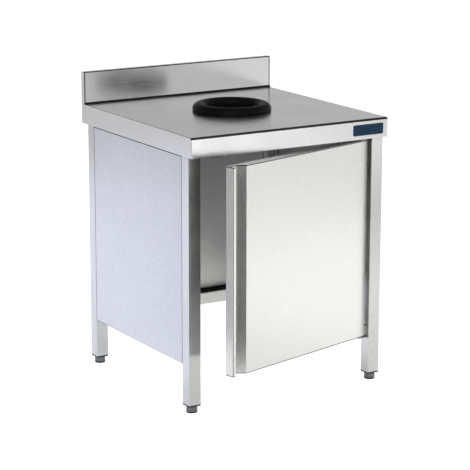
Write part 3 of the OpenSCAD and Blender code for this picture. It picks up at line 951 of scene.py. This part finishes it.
@dataclass(frozen=True)
class Countersunk:
    """A countersunk screw with a six-sided socket: its radii, its heights, and half its socket's width."""

    shank: float
    head: float
    depth: float
    length: float
    socket: float

    def turned(self) -> Turned:
        """Returns the screw pointing down, its head's face at zero."""
        floor = -0.55 * self.depth
        return Turned((
            Station(self.shank * 0.6, -self.length),
            Station(self.shank * 0.95, -self.length + self.shank * 0.5),
            Station(self.shank, -self.depth),
            Station(self.head * 0.97, -0.06 * self.depth),
            Station(self.head * 0.95, 0.0),
            Station(1.35 * self.socket, 0.0),
            Station(2 * self.socket, -0.08 * self.depth, self.socket),
            Station(2 * self.socket, floor, self.socket),
            Station(self.socket * 0.4, floor - 0.1 * self.depth),
        ))


def drawn(name: str, points: Sequence[Point | Vector], edges: Sequence = (), faces: Sequence = ()) -> Mesh:
    """Returns a mesh through points, with the edges or the faces that are given.

    Args:
        name: The mesh's name.
        points: Its points.
        edges: Its edges, each as two places in the points.
        faces: Its faces, likewise.

    Returns:
        The mesh.
    """
    mesh = bpy.data.meshes.new(name)
    mesh.from_pydata([tuple(point) for point in points], edges, faces)
    return mesh


def seats_mesh(seats: Sequence[Seat]) -> Mesh:
    """Returns a loose point for each seat, which carries the seat's axis.

    Args:
        seats: The seats.

    Returns:
        The mesh.
    """
    mesh = drawn("seats", [place for place, _ in seats])
    attribute = mesh.attributes.new("axis", "FLOAT_VECTOR", "POINT")
    for data, (_, axis) in zip(attribute.data, seats):
        data.vector = axis
    return mesh


def rounded(width: float, height: float, radius: float, steps: int = 8) -> list[Flat]:
    """Returns the outline of a rectangle with round corners, about the origin.

    Args:
        width: The rectangle's width.
        height: The rectangle's height.
        radius: Its corners' radius.
        steps: How many steps each corner has.

    Returns:
        The points, counter-clockwise.
    """
    points = []
    for quarter, (side, up) in enumerate(((1, 1), (-1, 1), (-1, -1), (1, -1))):
        for step in range(steps + 1):
            angle = math.pi / 2 * (quarter + step / steps)
            points.append((
                side * (width / 2 - radius) + radius * math.cos(angle),
                up * (height / 2 - radius) + radius * math.sin(angle),
            ))
    return points


def plate(name: str, low: Vector, high: Vector, sections: Sequence[Point]) -> Mesh:
    """Returns an upright block with round corners.

    Args:
        name: The mesh's name.
        low: The lowest corner of its box.
        high: The highest corner of its box.
        sections: For each loop from back to front, its place along Y, its inset and its corners' radius.

    Returns:
        The mesh.
    """
    centre, size = (low + high) / 2, high - low
    loops = []
    for depth, inset, corner in sections:
        outline = rounded(size.x - 2 * inset, size.z - 2 * inset, corner)
        loops.append([(centre.x + x, depth, centre.z + z) for x, z in outline])
    return stacked(name, loops)


def joined(name: str, *meshes: Mesh) -> Mesh:
    """Returns several meshes as one, in the first one's material.

    Args:
        name: The new mesh's name.
        *meshes: The meshes.

    Returns:
        The mesh.
    """
    work = bmesh.new()
    for mesh in meshes:
        work.from_mesh(mesh)
    for face in work.faces:
        face.material_index = 0
    result = bpy.data.meshes.new(name)
    work.to_mesh(result)
    work.free()
    return result


def moved(mesh: Mesh, *to: float) -> Mesh:
    """Moves a mesh's points and returns the mesh."""
    mesh.transform(Matrix.Translation(to))
    return mesh


def dress(finish: Finish, *nodes: str) -> None:
    """Gives CAD nodes their finish.

    Args:
        finish: The finish.
        *nodes: The nodes' names.
    """
    for name in nodes:
        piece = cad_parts[name]
        piece.data.materials.clear()
        piece.data.materials.append(material_of(finish))
        SMOOTHER.add_to(piece)
        LOG.info("node %s: %s", name, finish.name)


def add(name: str, mesh: Mesh, finish: Finish, slot: str, *stands_for: str, body: str = CABINET) -> None:
    """Adds a new piece to a body.

    Args:
        name: The piece's name.
        mesh: Its mesh, in place.
        finish: Its finish.
        slot: A material slot's name, which is not used.
        *stands_for: The CAD nodes that it replaces.
        body: The body that it rides on.
    """
    mesh.materials.clear()
    mesh.materials.append(material_of(finish))
    piece = linked(name, mesh)
    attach(piece, body)
    if stands_for:
        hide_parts(*stands_for)
    LOG.info("piece %s: %s, %d faces", name, finish.name, len(mesh.polygons))


def fasten(name: str, shape: Turned, seats: Sequence[Seat], node: str) -> None:
    """Adds one piece with a zinc-plated fastener on each seat.

    Args:
        name: The piece's name.
        shape: The fastener, drawn along Z.
        seats: Where its origin goes, and where its Z axis points.
        node: The CAD node that it replaces.
    """
    pattern = bpy.data.objects.new(f"{name}_pattern", shape.mesh(f"{name}_pattern"))
    mesh = FASTENERS.run(name, seats_mesh(seats), Fastener=pattern, Material=material_of(ZINC))
    bpy.data.objects.remove(pattern)
    add(name, mesh, ZINC, "steel_zinc", node)


SMOOTHER = FoldSmoother()
SWEPT_RING = SweptRing()
FASTENERS = Fasteners()
SCREW_THREAD = ScrewThread()
WELD_SEAM = WeldSeam()


@dataclass
class Worktop:
    """The top sheet with its splashback, the channels under it, and the bolts that hold it down."""

    flats: float = 5.0 * MM
    head_height: float = 4.0 * MM
    nut_height: float = 5.0 * MM
    shank: float = 3.0 * MM
    chamfer: float = 0.5 * MM

    @property
    def corner(self) -> float:
        """Half the width across corners of a bolt's head or of a nut."""
        return self.flats / math.cos(math.pi / 6)

    def build(self) -> None:
        """Dresses the sheets and makes the bolts and nuts."""
        dress(TOP_STEEL, "worktop_sheet", "splash_cap_left", "splash_cap_right")
        dress(ZINC, "omega_front", "omega_rear")
        low, high = extent("worktop_bolts")
        nut_z = extent("worktop_nuts")[0].z
        spots = [(middle(f"rail_{side}").x, middle(f"omega_{end}").y) for side in SIDES for end in ENDS]
        bolts = [(Vector((*spot, low.z)), UP) for spot in spots]
        nuts = [(Vector((*spot, nut_z)), UP) for spot in spots]
        fasten("worktop_bolts_hex", self.bolt(high.z - low.z), bolts, "worktop_bolts")
        fasten("worktop_nuts_hex", self.nut(), nuts, "worktop_nuts")

    def bolt(self, length: float) -> Turned:
        """Returns the hexagon bolt, head down, from zero up to its length.

        Args:
            length: Its whole length.

        Returns:
            The bolt.
        """
        return Turned((
            Station(self.flats * 0.6, 0.3 * MM),
            Station(self.flats * 0.9, 0.0, self.flats),
            Station(self.corner, self.chamfer, self.flats),
            Station(self.corner, self.head_height, self.flats),
            Station(self.shank, self.head_height),
            Station(self.shank, length - self.chamfer),
            Station(self.shank - self.chamfer, length),
        ))

    def nut(self) -> Turned:
        """Returns the hexagon nut, from zero up, closed over the bolt's end."""
        return Turned((
            Station(self.shank, 0.0),
            Station(self.flats * 0.97, 0.0, self.flats),
            Station(self.corner, self.chamfer, self.flats),
            Station(self.corner, self.nut_height - self.chamfer, self.flats),
            Station(self.flats * 0.95, self.nut_height, self.flats),
            Station(self.shank, self.nut_height),
        ))


@dataclass
class Chute:
    """The waste opening: a steel sleeve with a fat rubber ring pressed over its rim."""

    oval_width: float = 42.0 * MM
    oval_height: float = 36.0 * MM
    rise: float = 25.0 * MM
    skirt: float = 4.0 * MM
    oval_steps: int = 56
    tip_steps: int = 8
    steps: int = 192
    parting: float = 0.3 * MM
    parting_at: float = math.radians(2.0)
    parting_reach: float = math.radians(2.2)

    def build(self) -> None:
        """Dresses the sleeve and sweeps the ring."""
        dress(TOP_STEEL, "chute_collar")
        low, high = extent("chute_ring")
        centre = middle("chute_ring")
        face = high.z - self.rise
        outline = self.outline(low.z - face)
        ring = SWEPT_RING.run(
            "chute_ring_moulded",
            drawn("outline", outline, around(len(outline))),
            Radius=(high.x - low.x) / 2 - self.oval_width / 2,
            Steps=self.steps,
            Material=material_of(RUBBER),
        )
        add("chute_ring_moulded", moved(ring, centre.x, centre.y, face), RUBBER, "rubber_black", "chute_ring")

    def outline(self, skirt_end: float) -> list[Point]:
        """Returns the ring's section about the oval's middle, X outwards and Y down.

        Args:
            skirt_end: The height of the skirt's lower end, from the worktop's face.

        Returns:
            The points.
        """
        half_width, half_height = self.oval_width / 2, self.oval_height / 2
        mid = self.rise - half_height
        seat = math.asin(-mid / half_height)
        points = []
        for step in range(self.oval_steps + 1):
            angle = seat + (math.pi - seat) * step / self.oval_steps
            proud = self.parting if abs(angle - self.parting_at) < self.parting_reach else 0.0
            points.append(((half_width + proud) * math.cos(angle), mid + half_height * math.sin(angle)))
        tip = self.skirt / 2
        for step in range(self.tip_steps + 1):
            angle = math.pi + math.pi * step / self.tip_steps
            points.append((tip - half_width + tip * math.cos(angle), skirt_end + tip + tip * math.sin(angle)))
        points.append((-half_width + self.skirt, 0.0))
        return [(x, -z, 0.0) for x, z in reversed(points)]


@dataclass
class Badge:
    """The blank enamelled plate on the front apron."""

    corner: float = 5.0 * MM
    rim: float = 0.35 * MM

    def build(self) -> None:
        """Makes the plate with a bevelled rim."""
        low, high = extent("badge_plate")
        sections = (
            (high.y, 0.0, self.corner),
            (low.y + self.rim, 0.0, self.corner),
            (low.y, self.rim, self.corner - self.rim),
        )
        mesh = plate("badge_plate_enamelled", low, high, sections)
        add("badge_plate_enamelled", mesh, NAVY, "badge_navy", "badge_plate")


@dataclass
class Frame:
    """Four square legs and four rails, with the seams that join them."""

    seam: float = 1.3 * MM
    pitch: float = 1.1 * MM
    clear: float = 4.0 * MM

    def build(self) -> None:
        """Dresses the tubes and lays the welds."""
        dress(FRAME_STEEL, *(f"leg_{corner}" for corner in CORNERS))
        dress(RAIL_STEEL, *(f"rail_{place}" for place in (*ENDS, *SIDES)))
        points = [point for seam in self.seams() for point in seam]
        mesh = drawn("seams", points, [(index, index + 1) for index in range(0, len(points), 2)])
        welds = WELD_SEAM.run(
            "frame_welds", mesh, Pitch=self.pitch, Width=self.seam, Material=material_of(WELD)
        )
        add("frame_welds", welds, WELD, "steel_frame")

    def seams(self) -> list[Seat]:
        """Returns the ends of the seams under the rails, where they meet the legs."""
        found = []
        z = extent("rail_front")[0].z
        bracket = extent("hinge_bracket_top")[1]
        for end in ENDS:
            low, high = extent(f"rail_{end}")
            for x in (low.x, high.x):
                beside_bracket = end == "front" and x > bracket.x - self.clear
                start = bracket.y + self.clear if beside_bracket else low.y
                found.append((Vector((x, start + self.clear, z)), Vector((x, high.y - self.clear, z))))
        for side in SIDES:
            low, high = extent(f"rail_{side}")
            for y in (low.y, high.y):
                found.append((Vector((low.x + self.clear, y, z)), Vector((high.x - self.clear, y, z))))
        return found


@dataclass
class Feet:
    """Four screw feet: a pad that stays still under a sleeve that turns with its screw."""

    edge: float = 0.4 * MM
    bevel: float = 1.0 * MM
    root: float = 4.1 * MM
    crest: float = 5.0 * MM
    pitch: float = 1.5 * MM
    boss: float = 6.05 * MM
    boss_height: float = 3.6 * MM
    sleeve_height: float = 17.0 * MM
    lead: float = 3.0 * MM
    run_in: float = 0.5 * MM
    from_lead: float = 1.0 * MM
    from_top: float = 3.0 * MM
    soft_angle: float = math.radians(25.0)

    def build(self) -> None:
        """Dresses the plugs and pads and makes the screws."""
        for corner in CORNERS:
            dress(PLASTIC, f"plug_{corner}", f"foot_pad_{corner}")
            node = f"foot_screw_{corner}"
            name = f"{node}_threaded"
            add(name, self.screw(name, node), FOOT_STEEL, "steel_foot", node, body=node)

    def screw(self, name: str, node: str) -> Mesh:
        """Returns a foot's sleeve and threaded screw as one mesh.

        Args:
            name: The mesh's name.
            node: The CAD node that it stands for.

        Returns:
            The mesh.
        """
        low, high = extent(node)
        radius = (high.x - low.x) / 2
        top = high.z - low.z
        neck = self.sleeve_height + self.lead
        sleeve = Turned((
            Station(self.boss * 0.5, self.boss_height),
            Station(self.boss, self.boss_height),
            Station(self.boss, 0.0),
            Station(radius - self.edge, 0.0),
            Station(radius, self.edge),
            Station(radius, self.sleeve_height - self.bevel),
            Station(radius - self.bevel, self.sleeve_height),
            Station(self.crest, self.sleeve_height),
            Station(self.crest, neck),
            Station(self.root, neck + self.run_in),
            Station(self.root, top - self.run_in),
            Station(self.root - self.run_in, top),
        )).mesh(f"{name}_sleeve")
        length = top - self.sleeve_height - self.lead - self.from_top
        thread = SCREW_THREAD.run(
            f"{name}_thread",
            seats_mesh([(Vector((0.0, 0.0, neck + self.from_lead)), UP)]),
            Turns=length / self.pitch,
            Height=length,
            Root=self.root,
            Depth=self.crest - self.root,
            Material=material_of(FOOT_STEEL),
        )
        whole = joined(name, sleeve, thread)
        whole.polygons.foreach_set("use_smooth", [True] * len(whole.polygons))
        whole.set_sharp_from_angle(angle=self.soft_angle)
        centre = middle(node)
        return moved(whole, centre.x, centre.y, low.z)


@dataclass
class Panels:
    """Side and back panels, and the blind rivets that hold them to the legs."""

    sheet: float = 1.0 * MM
    tube: float = 2.5 * MM
    from_end: float = 60.0 * MM
    from_edge: float = 9.0 * MM
    rows: int = 3
    head: float = 3.2 * MM
    crown: float = 1.0 * MM
    shank: float = 1.6 * MM
    stem: float = 0.9 * MM

    def build(self) -> None:
        """Dresses the panels and sets the rivets."""
        dress(PANEL_STEEL, "side_panel_left", "side_panel_right")
        dress(BACK_STEEL, "back_panel")
        low = extent("side_panel_left")[0].z + self.from_end
        step = (extent("rail_left")[0].z - self.from_end - low) / (self.rows - 1)
        front, rear = extent("leg_front_left")[1].y + self.sheet, extent("leg_rear_left")[0].y - self.sheet
        back = extent("back_panel")[1].y - self.sheet - self.from_edge
        seats = []
        for side, sign in zip(SIDES, (-1, 1)):
            leg_low, leg_high = extent(f"leg_front_{side}")
            outer, inner = (leg_low.x, leg_high.x) if sign < 0 else (leg_high.x, leg_low.x)
            flange = outer - sign * self.from_edge
            for row in range(self.rows):
                z = low + row * step
                seats += [
                    (Vector((flange, front, z)), REAR),
                    (Vector((flange, rear, z)), -REAR),
                    (Vector((inner - sign * self.sheet, back, z)), -sign * RIGHT),
                ]
        fasten("panel_rivets_domed", self.rivet(), seats, "panel_rivets")

    def rivet(self) -> Turned:
        """Returns a blind rivet: domed head, dimple, broken stem, and shank through sheet and tube."""
        depth = self.sheet + self.tube
        dome = [
            Station(self.head * math.cos(angle), self.crown * math.sin(angle))
            for angle in (math.radians(degrees) for degrees in range(0, 70, 12))
        ]
        return Turned((
            Station(self.shank * 0.7, -depth),
            Station(self.shank, -depth + 0.4 * MM),
            Station(self.shank, 0.0),
            *dome,
            Station(self.stem + 0.25 * MM, self.crown),
            Station(self.stem + 0.15 * MM, self.crown * 0.45),
            Station(self.stem, self.crown * 0.45),
            Station(self.stem * 0.9, self.crown * 0.75),
            Station(self.stem * 0.4, self.crown * 0.7),
        ), steps=24)


@dataclass
class Door:
    """The door's skins, its folded pull edge, the core between them, and its pivot blocks and bushes."""

    def build(self) -> None:
        """Dresses the door's nodes."""
        dress(DOOR_STEEL, "door_outer_skin", "door_pull_edge")
        # The inner skin takes the darker copy of the door's steel, which is painted shade.
        dress(INNER_STEEL, "door_inner_skin")
        dress(CORE, "door_core")
        dress(ZINC, "pivot_block_top", "pivot_block_bottom", "strike_plate")
        dress(NYLON, "bush_top", "bush_bottom")


@dataclass
class Hinge:
    """The two brackets and pins that the door turns on, and their screws."""

    bracket: float = 3.0 * MM
    up: float = 10.0 * MM
    aside: float = 14.0 * MM
    apart: float = 16.0 * MM
    screw: Countersunk = Countersunk(
        shank=2.5 * MM, head=4.6 * MM, depth=2.5 * MM, length=12.0 * MM, socket=1.5 * MM
    )

    def build(self) -> None:
        """Dresses the brackets and pins and sets the screws."""
        dress(FRAME_STEEL, "hinge_bracket_top", "hinge_bracket_bottom", "hinge_pin_top", "hinge_pin_bottom")
        pivot = middle("hinge_pin_top")
        lower, lower_high = extent("hinge_bracket_bottom")
        upper = extent("hinge_bracket_top")[0]
        seats = []
        for row in range(2):
            along = row * self.apart
            height = lower.z + self.bracket + self.up + along
            seats += [
                (Vector((lower_high.x - self.bracket, pivot.y, height)), -RIGHT),
                (Vector((pivot.x - self.aside - along, pivot.y, upper.z)), -UP),
            ]
        fasten("bracket_screws_socket", self.screw.turned(), seats, "bracket_screws")


@dataclass
class Catch:
    """The magnetic catch under the front rail: bracket, magnet housing with pole strips, and screws."""

    apart: float = 24.0 * MM
    corner: float = 2.0 * MM
    soft: float = 0.6 * MM
    pole: float = 3.0 * MM
    pole_depth: float = 2.0 * MM
    pole_inset: float = 8.0 * MM
    recess: float = 0.3 * MM
    screw: Countersunk = Countersunk(
        shank=1.75 * MM, head=3.4 * MM, depth=1.6 * MM, length=9.0 * MM, socket=1.0 * MM
    )

    def build(self) -> None:
        """Dresses the bracket, makes the housing and its poles, and sets the screws."""
        dress(FRAME_STEEL, "catch_bracket")
        self.make_housing()
        x, y, z = middle("catch_bracket").x, middle("rail_front").y, extent("catch_bracket")[0].z
        seats = [(Vector((x + sign * self.apart / 2, y, z)), -UP) for sign in (-1, 1)]
        fasten("catch_screws_socket", self.screw.turned(), seats, "catch_screws")

    def make_housing(self) -> None:
        """Makes the moulded housing and the two steel strips in its face."""
        low, high = extent("catch_magnet")
        face = low.y + self.recess
        sections = (
            (high.y, self.soft, self.corner),
            (high.y - self.soft, 0.0, self.corner),
            (face + self.soft, 0.0, self.corner),
            (face, self.soft, self.corner),
        )
        housing = plate("catch_magnet_housing", low, high, sections)
        add("catch_magnet_housing", housing, PLASTIC, "plastic_black", "catch_magnet")
        strips = []
        for sign in (-1, 1):
            z = (low.z + high.z) / 2 + sign * (high.z - low.z) / 5
            start = Vector((low.x + self.pole_inset, 0.0, z - self.pole / 2))
            end = Vector((high.x - self.pole_inset, 0.0, z + self.pole / 2))
            depths = (face + self.pole_depth, low.y)
            strips.append(plate("pole", start, end, [(depth, 0.0, self.recess) for depth in depths]))
        add("catch_poles", joined("catch_poles", *strips), ZINC, "steel_zinc")


@dataclass
class Surroundings(NodeWork):
    """The studio's walls and ceiling: a grey at each height, and a front wall brighter than the back one."""

    greys: tuple[Limits, ...] = ((0.0, 1.0), (0.06, 0.76), (0.22, 0.54), (0.5, 0.34), (1.0, 0.34))
    front: float = 1.5
    turn: Limits = (0.2, -0.7)

    def build(self) -> None:
        """Makes the world, which the camera itself sees as white."""
        world = bpy.data.worlds.new("studio")
        world.use_nodes = True
        self.tree = world.node_tree
        self.tree.nodes.clear()
        view = self.node("ShaderNodeTexCoord").outputs["Generated"]
        split = self.node("ShaderNodeSeparateXYZ", Vector=view)
        ramp = self.node("ShaderNodeValToRGB", Fac=split.outputs["Z"])
        elements = ramp.color_ramp.elements
        while len(elements) < len(self.greys):
            elements.new(0.5)
        for element, (place, grey) in zip(elements, self.greys):
            element.position = place
            element.color = (grey, grey, grey, 1.0)
        strength = self.ranged(split.outputs["Y"], *self.turn, (1.0, self.front))
        walls = self.node("ShaderNodeBackground", Color=ramp.outputs[0], Strength=strength)
        ray = self.node("ShaderNodeLightPath").outputs
        shown = self.node("ShaderNodeMixShader", Fac=ray["Is Camera Ray"])
        self.give(shown, 1, walls.outputs[0])
        self.give(shown, 2, self.node("ShaderNodeBackground", Color=(1.0, 1.0, 1.0, 1.0)).outputs[0])
        self.give(self.node("ShaderNodeOutputWorld"), "Surface", shown.outputs[0])
        bpy.context.scene.world = world


@dataclass(frozen=True)
class Lamp:
    """A square soft lamp: where it hangs, what it faces, its size, its power and its colour."""

    name: str
    at: Point
    facing: Point
    size: float
    power: float
    colour: Colour

    def build(self) -> None:
        """Hangs the lamp."""
        data = bpy.data.lights.new(self.name, "AREA")
        data.size, data.energy, data.color = self.size, self.power, self.colour
        lamp = linked(self.name, data)
        lamp.location = self.at
        lamp.rotation_euler = (Vector(self.facing) - Vector(self.at)).to_track_quat("-Z", "Y").to_euler()
        lamp.visible_camera = False


def card(name: str, corners: Sequence[Point | Vector], material: Material) -> bpy.types.Object:
    """Returns a new four-cornered piece of the studio.

    Args:
        name: The piece's name.
        corners: Its corners in order.
        material: Its material.

    Returns:
        The piece.
    """
    mesh = drawn(name, corners, faces=[(0, 1, 2, 3)])
    mesh.materials.append(material)
    return linked(name, mesh)


@dataclass(frozen=True)
class Flag:
    """A grey card standing on the floor, which only polished metal shows."""

    name: str
    at: Flat
    along: Flat
    width: float
    height: float
    grey: float

    def build(self) -> None:
        """Stands the card on the floor."""
        foot = Vector((*self.at, 0.0))
        across = Vector((*self.along, 0.0)).normalized() * (self.width / 2)
        up = UP * self.height
        corners = [foot - across, foot + across, foot + across + up, foot - across + up]
        paper = Shader(self.name).finished(Base_Color=(*(self.grey,) * 3, 1.0), Roughness=1.0)
        piece = card(self.name, corners, paper)
        piece.visible_camera = False
        piece.visible_diffuse = False
        piece.visible_shadow = False
        piece.visible_transmission = False


@dataclass
class Studio:
    """Floor, surroundings, lamps, flags and the camera."""

    azimuth: float = math.radians(-31.44)
    elevation: float = math.radians(13.5)
    roll: float = math.radians(0.11)
    target: Point = (0.0126, 0.0604, 0.4447)
    distance: float = 6.25
    lens: float = 149.93
    sensor: float = 36.0
    sight: float = 200.0
    floor_size: float = 60.0
    fittings: tuple[Surroundings | Lamp | Flag, ...] = (
        Surroundings(),
        Lamp("key", (-2.4, -3.2, 3.6), (0.0, 0.0, 0.45), 2.6, 78.0, (1.0, 0.98, 0.95)),
        Lamp("fill", (4.6, -1.8, 1.6), (0.0, 0.0, 0.45), 2.2, 14.0, (1.0, 0.99, 0.97)),
        Lamp("floor_front", (1.5, -4.6, 0.5), (1.5, -4.6, 0.0), 2.4, 34.0, (1.0, 0.99, 0.98)),
        Lamp("floor_right", (1.6, -0.65, 0.45), (1.6, -0.65, 0.0), 2.0, 7.5, (1.0, 0.99, 0.96)),
        Lamp("floor_under", (0.02, 0.08, 0.13), (0.02, 0.08, 0.0), 0.4, 0.5, (0.88, 0.92, 1.0)),
        Lamp("floor_left", (-1.7, 1.75, 0.5), (-1.7, 1.75, 0.0), 3.0, 22.0, (0.67, 0.73, 1.0)),
        Lamp("floor_corner", (-0.62, 0.10, 0.3), (-0.62, 0.10, 0.0), 0.5, 0.6, (0.62, 0.70, 1.0)),
        Flag("flag_front", (-0.50, -0.86), (0.854, -0.465), 0.52, 0.75, 0.19),
        Flag("flag_left", (-1.00, 0.0), (0.465, 0.854), 0.50, 0.85, 0.62),
    )

    def build(self) -> None:
        """Makes the floor, the world, the lamps, the flags and the camera."""
        half = self.floor_size / 2
        corners = [(-half, -half, 0.0), (half, -half, 0.0), (half, half, 0.0), (-half, half, 0.0)]
        floor = card("studio_floor", corners, StudioFloor().material())
        for fitting in self.fittings:
            fitting.build()
        self.place_camera()

    def place_camera(self) -> None:
        """Stands the camera where the photograph was taken."""
        flat = math.cos(self.elevation)
        ahead = Vector((
            -math.sin(self.azimuth) * flat, math.cos(self.azimuth) * flat, -math.sin(self.elevation)
        ))
        data = bpy.data.cameras.new("camera")
        data.lens = self.lens
        data.sensor_width = self.sensor
        data.clip_end = self.sight
        camera = linked("camera", data)
        turn = ahead.to_track_quat("-Z", "Y").to_matrix() @ Matrix.Rotation(self.roll, 3, "Z")
        camera.matrix_world = Matrix.Translation(Vector(self.target) - ahead * self.distance) @ turn.to_4x4()
        bpy.context.scene.camera = camera


def main() -> None:
    """Builds and dresses the table, then the studio."""
    logging.basicConfig(level=logging.INFO, format="%(name)s: %(message)s")
    bpy.context.scene.view_settings.view_transform = "Standard"
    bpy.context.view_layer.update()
    for part in (Worktop(), Chute(), Badge(), Frame(), Feet(), Panels(), Door(), Hinge(), Catch(), Studio()):
        part.build()
        LOG.info("built %s", type(part).__name__)


if __name__ == "__main__":
    main()
